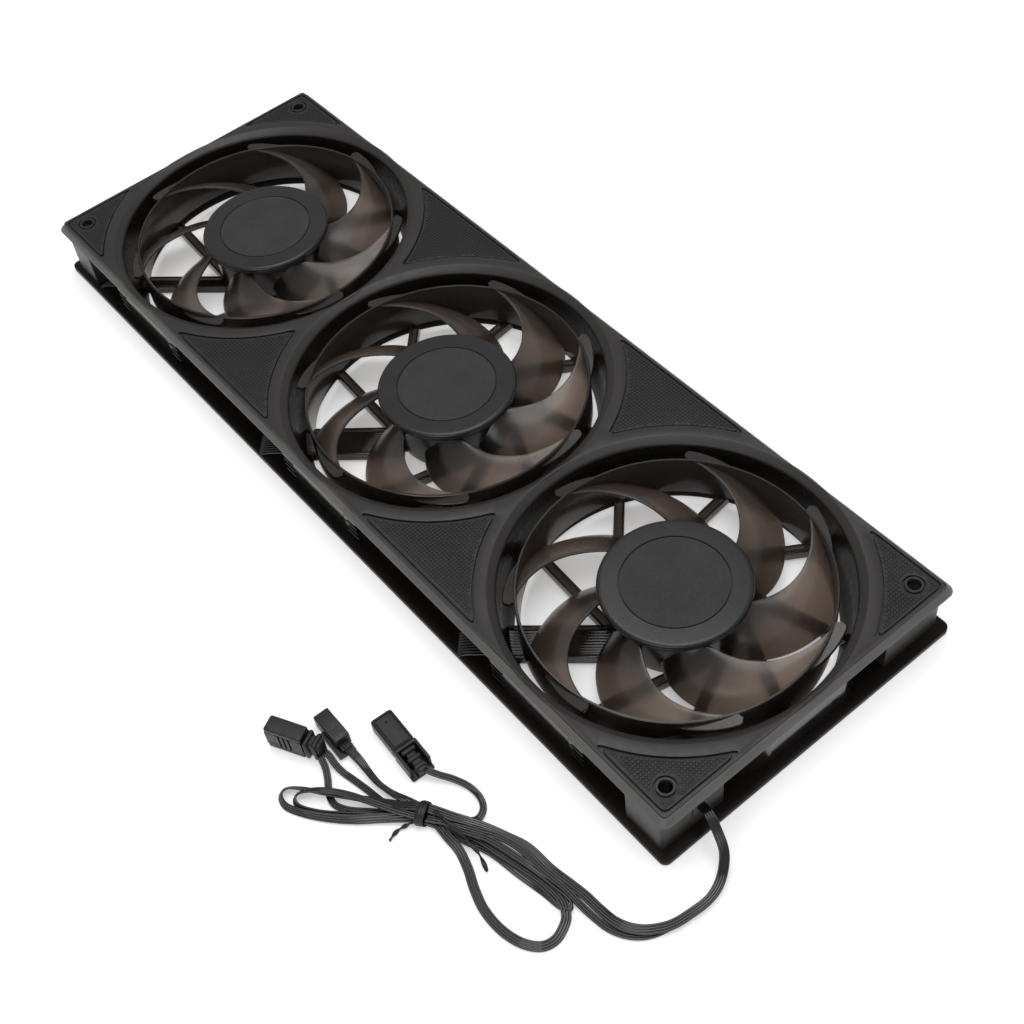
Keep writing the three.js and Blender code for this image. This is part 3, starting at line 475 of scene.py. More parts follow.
FAN_LEAD = (
    (177, -44.5, 12.3, 0), (178.9, -44.5, 12.3, 0), (182.6, -44.7, 12, 0), (187.4, -46, 9.9, 0),
    (192.2, -47.9, 6.8, 10), (195.6, -51.5, 4, 20), (197.8, -55.9, 2.5, 20), (198.6, -61, 2.2, 12),
    (198.2, -67, 2.2, 6), (197.2, -73, 2.2, 0), (194.4, -78.5, 2.2, -8), (190.6, -82.4, 2.2, -12),
    (185.6, -84.8, 2.1, -8), (179.4, -85.5, 1.6, 0), (173.9, -85.8, 1.5, 0), (168.4, -86.8, 2, 0),
    (160.4, -88, 1.8, 12), (150.4, -88.4, 1.6, 30), (143.4, -91, 1.9, 30), (136, -94.8, 2.7, 16),
    (129, -99.4, 3.7, 5), (120.1, -104.6, 4.3, 0), (114.6, -109.2, 3.6, 10), (107.6, -113.9, 2.4, 25),
    (101, -118.7, 1.7, 35), (94, -124.1, 1.5, 40), (87.4, -129.2, 1.7, 52), (84.6, -132.4, 1.8, 60),
    (85.2, -135.1, 1.8, 64), (88.4, -136.2, 1.8, 66), (92, -135.2, 1.8, 66), (97.5, -131.8, 1.8, 60),
    (103, -127.3, 1.8, 50), (108, -122.3, 1.8, 40), (113, -116.2, 1.9, 30), (118, -110.4, 2, 12),
    (121.9, -107, 2.1, 0), (126, -104.6, 2, 0), (131.5, -104.6, 1.6, 12), (137.1, -104.6, 1, 18),
    (143.6, -106.3, 0.9, 10), (150.1, -108.9, 0.9, 5), (157.1, -110.8, 0.9, 5), (165.1, -110.9, 0.9, 8),
    (172.1, -109, 0.9, 12), (176.7, -105.5, 0.9, 16), (178, -101.1, 0.9, 20), (176.5, -96.5, 1.1, 24),
    (174.4, -93.8, 1.8, 20), (170, -92, 2.4, 8), (162.5, -92.3, 2.4, 4), (154.5, -93.9, 2.2, 0),
    (146.5, -96, 2.1, 0), (138.1, -98.1, 2, 0), (131, -101.5, 2, 0), (125.6, -103.2, 2.1, 0),
    (119, -105.2, 3, 8), (114, -106.9, 3, 20), (110, -108.3, 2.7, 34), (106, -109.1, 1.9, 45),
    (102, -109.7, 1.6, 45), (97, -109.6, 1.6, 40), (92.4, -109.4, 1.9, 22), (88.4, -109.6, 2.4, 0),
    (85.4, -109.7, 2.4, 0),
)
LIGHT_LEAD = (
    (177, -44.5, 10.9, 0), (178.9, -44.5, 10.9, 0), (182.2, -44.6, 10.6, 0), (186.5, -45.7, 8.6, 0),
    (191, -47.3, 5.6, 8), (194.4, -50.9, 2.6, 16), (196.8, -55.5, 1.1, 10), (198, -61, 0.8, 4),
    (197.8, -67, 0.8, 0), (197, -73, 0.8, 0), (195, -79.4, 0.8, 0), (191.4, -84, 0.8, 0),
    (186, -87.1, 0.8, 0), (179.4, -88.3, 0.9, 0), (173.9, -88.8, 1.5, 0), (168.4, -89.1, 2.4, 0),
    (160.4, -90.4, 3.2, 8), (151, -91, 3.3, 10), (143.5, -93, 3.3, 8), (137, -96.8, 3.3, 0),
    (129.5, -101.4, 3.3, 0), (121.9, -107, 3.2, 0), (115.6, -111.2, 3.5, 6), (107.4, -115.7, 3.9, 8),
    (99.6, -120.2, 4, 10), (93.6, -124.9, 3.8, 20), (90, -128.8, 3, 45), (88.9, -131.6, 2.1, 62),
    (90.6, -133.2, 1.7, 66), (94, -132.4, 1.6, 66), (99, -129, 1.5, 58), (104, -124.4, 1.5, 45),
    (109, -119.2, 1.3, 30), (113.8, -114.2, 1.1, 16), (118, -109.8, 1, 0), (121.9, -107, 1, 0),
    (128, -103.9, 1, 0), (136, -101.4, 1, 0), (144.1, -98, 1.1, 10), (154.5, -96.2, 1.2, 24),
    (164.5, -94.4, 1.4, 50), (171.2, -93.8, 1.6, 80), (174.2, -92.1, 1.7, 88), (172.4, -90.4, 1.9, 80),
    (166, -90.9, 2.6, 50), (158.5, -92, 3.4, 20), (150.5, -93.8, 3.5, 6), (141.1, -96.4, 3.4, 0),
    (133, -100.8, 3.3, 0), (126, -103.2, 3.2, 0), (120.1, -104.6, 3.1, 0), (117, -107.8, 2.7, 0),
    (114, -111, 2, 0), (111, -112, 1.4, 0), (106, -112.8, 0.9, 0), (101, -113.6, 0.8, 0),
    (96, -114.6, 0.8, 0), (91.6, -115.6, 0.9, 0), (88, -116, 1.8, 0), (84.8, -115.9, 3.2, 0),
    (81.6, -116.6, 3.6, 0),
)
LINK_LEAD = (
    (81.4, -117.8, 3.6, 0), (84.4, -118.4, 3.2, 0), (87.6, -119.3, 1.9, 0), (90.6, -120.8, 1.2, 0),
    (95, -123.4, 1, 0),
    (99, -124.1, 0.8, 0), (103.4, -121.9, 0.8, 0), (108, -117.6, 0.8, 0), (112.6, -113, 0.8, 0),
    (116.8, -108.2, 0.9, 0), (120.1, -104.6, 1, 0), (124, -101.9, 1.7, 0), (128, -100, 2.8, 10),
    (131.6, -97.2, 2.2, 25), (133, -94, 1.4, 35), (131.4, -90.6, 1.2, 35), (127.4, -88.8, 1.1, 25),
    (122, -89.1, 1, 10), (117, -91.4, 1.7, 0), (113.6, -94, 2.8, 0), (110.4, -95.8, 3.6, 0),
    (107.6, -96, 3.7, 0),
)


def make_lead(name, route, wires, nodes):
    """A ribbon of joined wires along its route."""
    path = smooth_route(route, 1.1)
    shape = swept(path, ribbon_section(wires, WIRE_PITCH, WIRE_RADIUS), 0.12)
    lead = piece(name, shape, WIRE, replaces=nodes, sharp=60)


# ---- Connectors ----
def on_side(shape):
    """A plate stood on end: its up direction becomes +X and its Y stays."""
    return [Vector((c[2], c[1], -c[0])) for c in shape[0]], shape[1]


def shell(length, half_y, low, high, cavity_from, cavity_half_y, cavity_low, cavity_high):
    """A connector's shell along +X with its mating end open."""
    middle = (low + high) / 2
    outline = rounded_rectangle((high - low) / 2, half_y, 0.45, -middle, 0, steps=4)
    cavity_middle = (cavity_low + cavity_high) / 2
    cavity = rounded_rectangle((cavity_high - cavity_low) / 2, cavity_half_y, 0.3, -cavity_middle, 0, steps=3)
    rows = [(0.25, length), (0.08, length - 0.08), (0, length - 0.25), (0, cavity_from)]
    return on_side(plate(outline, edge(length, 0, 0.3), pockets=[(cavity, rows, ())]))


def boot(length, half_width, low, high, ribs):
    """A ribbed rubber boot that narrows away from its connector."""
    middle = (low + high) / 2
    core = half_width * 0.66
    shapes = [block((-length, -core, low + 0.9), (0, core, high - 0.9), 0.7)]
    pitch = length / ribs
    for k in range(ribs):
        reach = half_width * (1 - 0.1 * k)
        height = (high - low) / 2 - 0.2 * k
        near = -0.3 - k * pitch
        shapes.append(block((near - 0.56 * pitch, -reach, middle - height),
                            (near, reach, middle + height), min(0.8, 0.26 * pitch)))
    return joined(*shapes)


def connector(name, shape, spot, node, material=SHELL):
    x, y, turn = spot
    return piece(name, placed(shape, x, y, 0, turn), material, replaces=[node], sharp=40)


FAN_PLUG = (84, -109.7, 179)
LIGHT_SOCKET = (77.6, -119, 207.7)
LIGHT_PLUG = (99, -96.4, 177)


def make_fan_plug():
    """A four-pin fan plug with its key rails and the crimped wires' tongue."""
    shape = joined(
        shell(12.6, 2.8, 0.2, 5.8, 9, 2.2, 1.3, 4.6),
        block((-3.4, 2.72, 0.25), (7.6, 3.95, 3.2)),
        block((3, -3.3, 1.6), (9, -2.7, 3.2)),
        block((-3.8, -2.2, 0.8), (0.5, 2.9, 1.55), 0.25),
        *(block((-2.6, y - 0.5, 1.4), (0.6, y + 0.5, 3), 0.2) for y in (-1.5, -0.5, 0.5, 1.5)),
        *(block((1.6, y - 0.3, 5.7), (4.6, y + 0.3, 5.86), 0.1) for y in (-1.5, -0.5, 0.5, 1.5)),
    )
    return connector("fan_plug_shell", shape, FAN_PLUG, "fan_plug")


def make_light_socket():
    """A tall moulded block whose sides have three grip grooves."""
    notches = []
    for x in (4.2, 6, 7.8):
        notches += [(x, 2.9), (x, 2.4), (x + 0.8, 2.4), (x + 0.8, 2.9)]
    upper = [(13.3, 2.9), *reversed(notches), (0.1, 2.9)]
    lower = [(x, -y) for x, y in reversed(upper)]
    outline = [Vector(point) for point in (*lower, *upper)]
    shape = joined(
        plate(outline, [(0.02, 8.9), (0, 8.8), (0, 2.3), (0.02, 2.2)]),
        block((0, -2.9, 0.2), (13.4, 2.9, 2.3), 0.7),
        block((0, -2.9, 8.8), (13.4, 2.9, 10.8), 0.7),
        block((9.6, -3, 2.9), (12.2, 3, 3.3), 0.1),
    )
    made = connector("light_socket_body", shape, LIGHT_SOCKET, "light_socket")
    rubber = boot(6, 3.1, 0.9, 9.6, 2)
    sleeve = connector("light_socket_sleeve", rubber, LIGHT_SOCKET, "light_socket_boot", BOOT)
    return made, sleeve


def make_light_plug():
    """The light plug: a clip frame round a ribbed boot, and a cap on its mating end."""
    cap = joined(
        block((0, -4, 0.2), (13.8, 4, 5.8), 1),
        block((0.6, -3.1, 5.6), (12.6, 3.1, 6), 0.5),
        revolved_stud(10, 0, 5.9, 0.5),
    )
    cover = connector("light_plug_cover", cap, LIGHT_PLUG, "light_plug_cap")
    clip = joined(
        block((-10.6, -4.2, 0.2), (-0.1, 4.2, 1.5), 0.6),
        block((-9.2, 3.1, 0.4), (-0.1, 4.2, 6), 0.5),
        block((-9.2, -4.2, 0.4), (-0.1, -3.1, 6), 0.5),
        block((-1.5, -4, 0.4), (-0.1, 4, 6), 0.5),
    )
    body = connector("light_plug_clip", clip, LIGHT_PLUG, "light_plug")
    rubber = placed(boot(9.6, 2.7, 1.2, 6, 3), -1.5)
    sleeve = connector("light_plug_sleeve", rubber, LIGHT_PLUG, "light_plug_boot", BOOT)
    return cover, body, sleeve


def revolved_stud(x, y, z, radius):
    """A small domed stud on a connector's face."""
    profile = [(0, -0.3), (radius, -0.3), (radius, 0.02), (0.6 * radius, 0.1), (0, 0.1)]
    return placed(revolved(profile, 16), x, y, z)


TIE_HALF_WIDTH = 0.75
TIE_ANGLES = [2 * math.pi * k / 12 for k in range(12)]


def make_tie():
    """The twist tie: a flat wire wound twice round the hank, with its twisted ends."""
    x, y, heading = 121, -105.8, math.radians(34)
    flat = (TIE_HALF_WIDTH, 0.3)
    route = []
    for i in range(26):
        angle = math.radians(-60 + 30 * i)
        drift = -0.9 + 1.8 * i / 25
        across, up = 3.9 * math.cos(angle), 2.75 * math.sin(angle)
        route.append((drift, -across, 2.95 + up))
    turned = []
    for along, across, up in route:
        turned.append((x + along * math.cos(heading) - across * math.sin(heading),
                       y + along * math.sin(heading) + across * math.cos(heading), up, 0))
    rings = wound(turned, TIE_HALF_WIDTH, 0.36, Vector((math.cos(heading), math.sin(heading), 0)))
    first = twisted([(120.9, -109.6, 2.2), (120, -111.6, 1.4), (119.4, -113.6, 0.9), (119.5, -116, 0.8),
                     (120.4, -118.6, 0.8)], *flat)
    second = twisted([(123.6, -103.4, 5.2), (128, -102.4, 5.3), (134, -101.6, 4.7), (140, -101.2, 3.6),
                      (144, -101.4, 2.2), (148.4, -102.6, 1.2)], *flat)
    return piece("twist_tie_wire", joined(rings, first, second), TIE,
                 replaces=["twist_tie"], sharp=50)


def wound(route, half_width, half_height, width_way):
    """A flat wire along a route, its width kept in one direction."""
    path = smooth_route(route, 0.5)
    rows = []
    last = len(path) - 1
    for i, here in enumerate(path):
        along = (path[min(i + 1, last)] - path[max(i - 1, 0)]).xyz.normalized()
        side = (width_way - along * width_way.dot(along)).normalized()
        top = along.cross(side)
        rows.append([here.xyz + side * half_width * math.cos(a) ** 3 + side * half_width * 0.4
                     * math.cos(a) + top * half_height * math.sin(a) for a in TIE_ANGLES])
    corners, faces = grid(rows)
    count = len(TIE_ANGLES)
    faces += [tuple(reversed(range(count))), tuple(range(last * count, (last + 1) * count))]
    return corners, faces


def twisted(route, half_width, half_height):
    """A flat wire that twists as it goes."""
    path = smooth_route([(*point, 120 * i) for i, point in enumerate(route)], 0.5)
    section = [(half_width * math.cos(a), half_height * math.sin(a)) for a in TIE_ANGLES]
    return swept(path, section, 0.3)


plug = make_fan_plug()
socket, socket_sleeve = make_light_socket()
plug_cover, plug_clip, plug_sleeve = make_light_plug()
tie = make_tie()
make_lead("fan_lead_ribbon", FAN_LEAD, 4, ["fan_lead", "fan_lead_loop", "fan_lead_tail", "lead_hank"])
make_lead("light_lead_ribbon", LIGHT_LEAD, 3, ["light_lead", "light_lead_tail"])
make_lead("link_lead_ribbon", LINK_LEAD, 3, ["link_lead_in", "link_lead_out"])


# ---- Frame: deck and pads ----
def mid_pad_outline(spread):
    """A pad between two fans, about its place midway between them, counter-clockwise."""
    radius, edge_y, half = PAD_ARC - spread, PAD_EDGE + spread, FAN_PITCH / 2
    base = half - math.sqrt(radius**2 - edge_y**2)
    low = math.degrees(math.asin(edge_y / radius)) - 5
    high = math.degrees(math.acos(half / radius)) + 3.4
    left = arc(-half, 0, radius, low, high, 20)
    right = arc(half, 0, radius, 180 - high, 180 - low, 20)
    points = bend((5.2 - base, edge_y), (-base, edge_y), left[0])
    points += left[1:]
    points += bend(left[-1], (0, math.sqrt(radius**2 - half**2)), right[0])[1:]
    points += right[1:]
    points += bend(right[-1], (base, edge_y), (base - 5.2, edge_y))[1:]
    return points


def corner_pad_outline(spread):
    """A corner pad about its end fan's centre, counter-clockwise."""
    radius, edge_y = PAD_ARC - spread, PAD_EDGE + spread
    reach = math.sqrt(radius**2 - edge_y**2)
    low = math.degrees(math.asin(edge_y / radius)) - 5
    inner = arc(0, 0, radius, low, 90 - low, 24)
    points = bend((reach + 5.4, edge_y), (reach, edge_y), inner[0])
    points += inner[1:]
    points += bend(inner[-1], (edge_y, reach), (edge_y, reach + 5.4))[1:]
    points += bend((edge_y, edge_y - 2.2), (edge_y, edge_y), (edge_y - 2.2, edge_y))
    return points


def counter_clockwise(outline):
    area = sum(a.x * b.y - b.x * a.y for a, b in zip(outline, outline[1:] + outline[:1]))
    return outline if area > 0 else list(reversed(outline))


def pad_places():
    """Every pad's node, its outline's maker, and how the outline is mirrored and moved."""
    places = []
    for side in (1, -1):
        for x in (FAN_PITCH / 2, -FAN_PITCH / 2):
            places.append((f"pad_mid_{len(places) + 1}", mid_pad_outline, 1, side, x, None))
    for side_x in (1, -1):
        for side_y in (1, -1):
            screw = (side_x * SCREW[0], side_y * SCREW[1])
            name = f"pad_corner_{len(places) - 3}"
            places.append((name, corner_pad_outline, side_x, side_y, side_x * FAN_PITCH, screw))
    return places


def pad_outline(place, spread):
    _, make, side_x, side_y, x, _ = place
    points = [Vector((p.x * side_x + x, p.y * side_y)) for p in make(spread)]
    return counter_clockwise(points)


def make_deck():
    """The deck: rounded bore lips, pockets for the pads and holes for the screws."""
    outer = rounded_rectangle(HALF_LENGTH - 0.1, HALF_WIDTH - 0.1, 1.5, steps=6)
    lip = [(3, TOP), (2.8, TOP - 0.05), (2.6, TOP - 0.17), (0.6, TOP - 1.35), (0.25, TOP - 1.65),
           (0.05, TOP - 2.1), (0, TOP - 2.4), (0, DECK_BOTTOM)]
    bores = [(circle(fan["x"], 0, BORE, 180), lip) for fan in FANS]
    pocket = [(0.22, TOP), (0.06, TOP - 0.06), (0, TOP - 0.22), (0, TOP - 1)]
    screw_hole = [(0, TOP - 1), (0, DECK_BOTTOM)]
    pockets = []
    for place in pad_places():
        screw = [(circle(*place[5], SCREW_RADIUS), screw_hole)] if place[5] else []
        pockets.append((pad_outline(place, 0.45), pocket, screw))
    rim = [(0.4, TOP), (0.12, TOP - 0.1), (0, TOP - 0.35), (0, 24.3), (0.1, 24.2), (0.8, 24.2),
           (0.8, DECK_BOTTOM)]
    shape = plate(outer, rim, bores, pockets)
    boss = revolved([(SCREW_RADIUS, TOP - 1.1), (3.1, TOP - 1.1), (3.1, TOP - 0.25), (2.9, TOP - 0.02),
                     (2.4, TOP - 0.02), (SCREW_RADIUS, TOP - 0.3)], 40)
    bosses = [placed(boss, *place[5]) for place in pad_places() if place[5]]
    piece("frame_deck", shape, DECK, replaces=["frame"], sharp=28)
    piece("frame_screw_rings", joined(*bosses), DECK)


def make_pads():
    """Rubber pads with a fine square pattern of bumps in rows along both sides."""
    pitch, half, low, high = 1.2, 0.5, TOP - 0.4, TOP
    for place in pad_places():
        name, _, side_x, side_y, x, screw = place
        outline = pad_outline(place, 0)
        rows = [(0.3, TOP - 0.25), (0.1, TOP - 0.3), (0, TOP - 0.45), (0, TOP - 0.95)]
        holes = [(circle(*screw, 3.6, 32), rows)] if screw else []
        shapes = [plate(outline, rows, holes)]
        inner = grown(outline, -0.75)
        xs, ys = [p.x for p in outline], [p.y for p in outline]
        for i in range(int((max(xs) - min(xs)) / pitch) + 1):
            for j in range(int((max(ys) - min(ys)) / pitch) + 1):
                spot = Vector((min(xs) + (i + 0.5) * pitch, min(ys) + (j + 0.5) * pitch))
                near_screw = screw and (spot - Vector(screw)).length < 4.7
                if inside(spot, inner) and not near_screw:
                    shapes.append(bump(spot, half, low, high))
        piece(f"{name}_grip", joined(*shapes), RUBBER, replaces=[name])


def bump(spot, half, low, high):
    """A small square frustum."""
    square = ((1, 1), (-1, 1), (-1, -1), (1, -1))
    rows = [[Vector((spot.x + a * r, spot.y + b * r, z)) for a, b in square]
            for r, z in ((half, low), (half * 0.84, high - 0.06), (half * 0.66, high))]
    corners, faces = grid(rows)
    return corners, faces + [(3, 2, 1, 0), (8, 9, 10, 11)]


make_deck()
make_pads()


# ---- Frame: skirt, barrels, posts and flange ----
def make_skirt():
    """The band round the deck: a face that slopes outwards and tucks in below."""
    outline = rounded_rectangle(HALF_LENGTH, HALF_WIDTH, 1.3, steps=6)
    profile = [(-0.85, 23.9), (0.1, 23.9), (0.35, 23.82), (0.55, 23.65), (1.2, 23), (1.9, 22.2),
               (2, 21.95), (1.9, 21.7), (1.5, 21.6), (0.1, 21.7), (-0.3, 21.85), (-0.4, 22.3), (-0.85, 22.5)]
    lines = [grown(outline, out) for out, _ in profile]
    rows = [[Vector((p.x, p.y, z)) for p in line] for line, (_, z) in zip(lines, profile)]
    # The band's lighter grey is a painted highlight.
    piece("frame_skirt", grid(rows, wrap_rows=True), BAND_WITH_PAINTED_SHEEN)


BARREL_RADIUS = 61.5
COLLAR_RADIUS = 64.8
BORE_EDGE_RADIUS = 58.2
FLAT = 59.3
NEIGHBOUR_FLAT = 59.9


def barrel_shape(fan):
    """One fan's barrel, its outside cut flat at the long sides, the ends and the next barrel."""
    right = FLAT if fan["number"] == 1 else NEIGHBOUR_FLAT
    left = FLAT if fan["number"] == 3 else NEIGHBOUR_FLAT
    inner = [(53.5, 0.12), (53.4, 0.4), (53.5, 1.2), (55.1, 4), (56.5, 7), (57.35, 9.5), (57.45, 12),
             (57.45, 22.55), (58.4, 23)]
    outer = [(63, 23), (COLLAR_RADIUS, 22.9), (COLLAR_RADIUS, 22), (63.4, 21.2), (62.1, 20.2),
             (BARREL_RADIUS, 18.6), (BARREL_RADIUS, 0.12)]
    corner = math.degrees(math.acos(FLAT / BARREL_RADIUS))
    angles = {2 * i for i in range(180)}
    for quarter in (0, 90, 180, 270):
        angles |= {(quarter + side * (corner + d)) % 360 for side in (1, -1) for d in (-0.4, 0, 0.4)}
    rows = []
    for degrees in sorted(angles):
        way = Vector((math.cos(math.radians(degrees)), math.sin(math.radians(degrees))))
        limit_x = (right if way.x > 0 else left) / max(1e-6, abs(way.x))
        limit = min(limit_x, FLAT / max(1e-6, abs(way.y)))
        row = [Vector((way.x * r, way.y * r, z)) for r, z in inner]
        row += [Vector((way.x * min(r, limit), way.y * min(r, limit), z)) for r, z in outer]
        rows.append(row)
    return placed(grid(rows, wrap_rows=True), fan["x"])


def fins_shape(fan):
    """The stacked fins that carry each flat on past the barrel's round wall."""
    near, far = 15.8, 22.6
    shapes = []
    for side in (-1, 1):
        for end in (-1, 1):
            for k in range(5):
                z = 4.6 + 2.8 * k
                back = [(far - i * 1.7, math.sqrt(60.6**2 - (far - i * 1.7) ** 2)) for i in range(5)]
                points = [Vector((end * near, side * FLAT)), Vector((end * far, side * FLAT))]
                points += [Vector((end * x, side * y)) for x, y in back]
                outline = counter_clockwise(points)
                shapes.append(plate(outline, [(0.1, z + 0.55), (0, z + 0.4), (0, z - 0.4), (0.1, z - 0.55)]))
    return placed(joined(*shapes), fan["x"])


def make_barrels():
    for fan in FANS:
        barrel = piece(f"frame_barrel_{fan['number']}", barrel_shape(fan), BORE_WALL)
        second_look(barrel, fan, GLOSS, BORE_EDGE_RADIUS)
        piece(f"frame_fins_{fan['number']}", fins_shape(fan), GLOSS)


def make_posts():
    """The corner posts, each with its screw hole."""
    high, low = 22.7, 2.3
    end_x, side_y, start_x, start_y, corner, back = 58.6, 60.2, 43, 35, 2, 60
    rows = [(0.2, high), (0, high - 0.2), (0, low + 0.3), (0.2, low)]
    hole_rows = [(0, high), (0, low)]
    shapes = []
    first, last = math.degrees(math.asin(start_y / back)), math.degrees(math.acos(start_x / back))
    inner = arc(0, 0, back, first, last, 8)
    outline = [Vector((end_x, start_y)), *arc(end_x - corner, side_y - corner, corner, 0, 90, 6),
               Vector((start_x, side_y))]
    outline += list(reversed(inner))
    for side_x in (1, -1):
        for side_y in (1, -1):
            placed_outline = [Vector((side_x * (p.x + FAN_PITCH), side_y * p.y)) for p in outline]
            hole = circle(side_x * SCREW[0], side_y * SCREW[1], SCREW_RADIUS)
            shapes.append(plate(counter_clockwise(placed_outline), rows, [(hole, hole_rows)]))
    piece("frame_posts", joined(*shapes), DECK)


HARNESS = [(-165, -59.9), (148, -59.9), (158, -57), (165, -48), (170, -44.5), (173.4, -44.5)]


def strip_outline(points, half_width):
    """The outline of a strip along a line in plan."""
    line = [Vector(p) for p in points]
    left, right = [], []
    for i, here in enumerate(line):
        along = (line[min(i + 1, len(line) - 1)] - line[max(i - 1, 0)]).normalized()
        side = Vector((-along.y, along.x)) * half_width
        left.append(here + side)
        right.append(here - side)
    return counter_clockwise(left + list(reversed(right)))


def make_flange():
    """The rear flange, with the bores and a groove for the harness in its rear face."""
    outer = rounded_rectangle(HALF_LENGTH + FLANGE_REACH, HALF_WIDTH + FLANGE_REACH, 2.6, steps=8)
    bore_rows = [(0.3, 0), (0, -0.3), (0, -FLANGE_TOP)]
    bores = [(circle(fan["x"], 0, 59.5, 120), bore_rows) for fan in FANS]
    screws = [(circle(sx * SCREW[0], sy * SCREW[1], SCREW_RADIUS), bore_rows)
              for sx in (1, -1) for sy in (1, -1)]
    groove = (strip_outline(HARNESS, 1.5), [(0.15, 0), (0, -0.15), (0, -1.7)], ())
    rear = plate(outer, edge(0, -FLANGE_TOP, 0.35), bores + screws, [groove])
    piece("frame_flange", flipped(rear), BORE_WALL, sharp=28)


make_skirt()
make_barrels()
make_posts()
make_flange()


# ---- Frame: rear arms and the leads on them ----
def arm_heading(angle, offset):
    return angle - math.degrees(math.asin(offset / ARM_RADIUS))


def bar(start, end, offset, half_width, heading):
    """The outline of a straight bar that passes the fan's centre at an offset."""
    way = Matrix.Rotation(math.radians(heading), 2)
    square = ((start, -1), (end, -1), (end, 1), (start, 1))
    return [way @ Vector((x, offset + side * half_width)) for x, side in square]


def arms_shape(fan):
    """The rear arms, each a thin web between two edge ribs, and the motor's base."""
    rib, web = edge(4.3, 0.8, 0.25), edge(2, 0.9, 0.1)
    shapes = []
    for k in range(ARMS):
        if k == LEAD_ARM:
            continue
        heading = arm_heading(FIRST_ARM + ARM_TURN * k, ARM_OFFSET)
        shapes.append(plate(bar(0, ARM_END, ARM_OFFSET, 1.5, heading), web))
        shapes += [plate(bar(0, ARM_END, ARM_OFFSET + side * 1.45, 0.4, heading), rib) for side in (-1, 1)]
    heading = arm_heading(FIRST_ARM + ARM_TURN * LEAD_ARM, fan["arm_offset"])
    half, offset = fan["arm_width"] / 2, fan["arm_offset"]
    shapes.append(plate(bar(16.8, 56.4, offset, half, heading), edge(2.7, 0.8, 0.3)))
    for side in (-1, 1):
        rail = offset + side * (half - 0.6)
        shapes.append(plate(bar(18, 56.2, rail, 0.55, heading), edge(4.4, 1.2, 0.3)))
    base = revolved([(0, 0.8), (20.2, 0.8), (20.8, 1), (21, 1.5), (21, 4.2), (20.8, 4.5), (20.2, 4.5),
                     (20, 4.2), (20, 2.8), (5.2, 2.8), (5, 3.1), (5, 15.8), (4.8, 16), (3.5, 16),
                     (3.5, 1.8), (0, 1.8)], 96)
    return placed(joined(base, *shapes), fan["x"])


def arm_leads_shape(fan):
    """The flat leads that run along the wide arm, over the flange and into its groove."""
    heading = arm_heading(FIRST_ARM + ARM_TURN * LEAD_ARM, fan["arm_offset"])
    pitch = 1.1
    wires = round((fan["arm_width"] - 3) / pitch)
    way = Matrix.Rotation(math.radians(heading), 2)
    route = []
    for along, z in ((17.5, 3.3), (25, 3.35), (34, 3.3), (43, 3.35), (52, 3.3), (60, 3.3), (66, 3.25),
                     (69.5, 3.0), (71.2, 2.2)):
        spot = way @ Vector((along, fan["arm_offset"]))
        route.append((spot.x, spot.y, z, 0))
    shape = swept(smooth_route(route, 1.5), ribbon_section(wires, pitch, 0.5))
    return placed(shape, fan["x"])


def make_arms():
    leads = []
    for fan in FANS:
        piece(f"frame_arms_{fan['number']}", arms_shape(fan), ARM)
        leads.append(arm_leads_shape(fan))
    strip = plate(strip_outline(HARNESS, 1.2), edge(1.4, 0.4, 0.2))
    riser = block((172.4, -46, 0.5), (173.4, -43, 13.4), 0.3)
    piece("inner_leads", joined(strip, riser, *leads), WIRE,
          replaces=["inner_harness"], sharp=60)


def make_gland():
    """The rubber gland round the leads at the frame's end."""
    shape = joined(
        block((173.8, -47.1, 9.1), (178.6, -41.9, 13.9), 0.8),
        block((178.1, -47.8, 8.5), (179, -41.2, 14.5), 0.35),
    )
    piece("cable_gland_rubber", shape, BOOT, replaces=["cable_gland"])


make_arms()
make_gland()

# ---- Rotors ----
BLADES = 7
RING_OUTER = 51.9
RING_INNER = 50.9
RING_TOP = 22.5
RING_BOTTOM = 5.5
HUB_RADIUS = 22
BLADE_ROOT = 21.2
BLADE_SPAN = 29.3
WING_ROOT = 51.4


def leading_edge(r):
    u = (r - HUB_RADIUS) / BLADE_SPAN
    return -49.98 + 42.43 * u - 22.47 * u**2 + 27.56 * u**3, 19.5 - 6.4 * u + 8.9 * u**2


def trailing_edge(r):
    u = (r - HUB_RADIUS) / BLADE_SPAN
    return -84.1 + 21.32 * u + 44.76 * u**2 - 21.22 * u**3, 7.95 - 3.03 * u + 1.6 * u**2


def blade_middle(r, chord):
    start, high = leading_edge(r)
    end, low = trailing_edge(r)
    angle = math.radians(start + (end - start) * chord)
    z = high + (low - high) * chord + 1.6 * math.sin(math.pi * chord)
    return Vector((r * math.cos(angle), r * math.sin(angle), z))


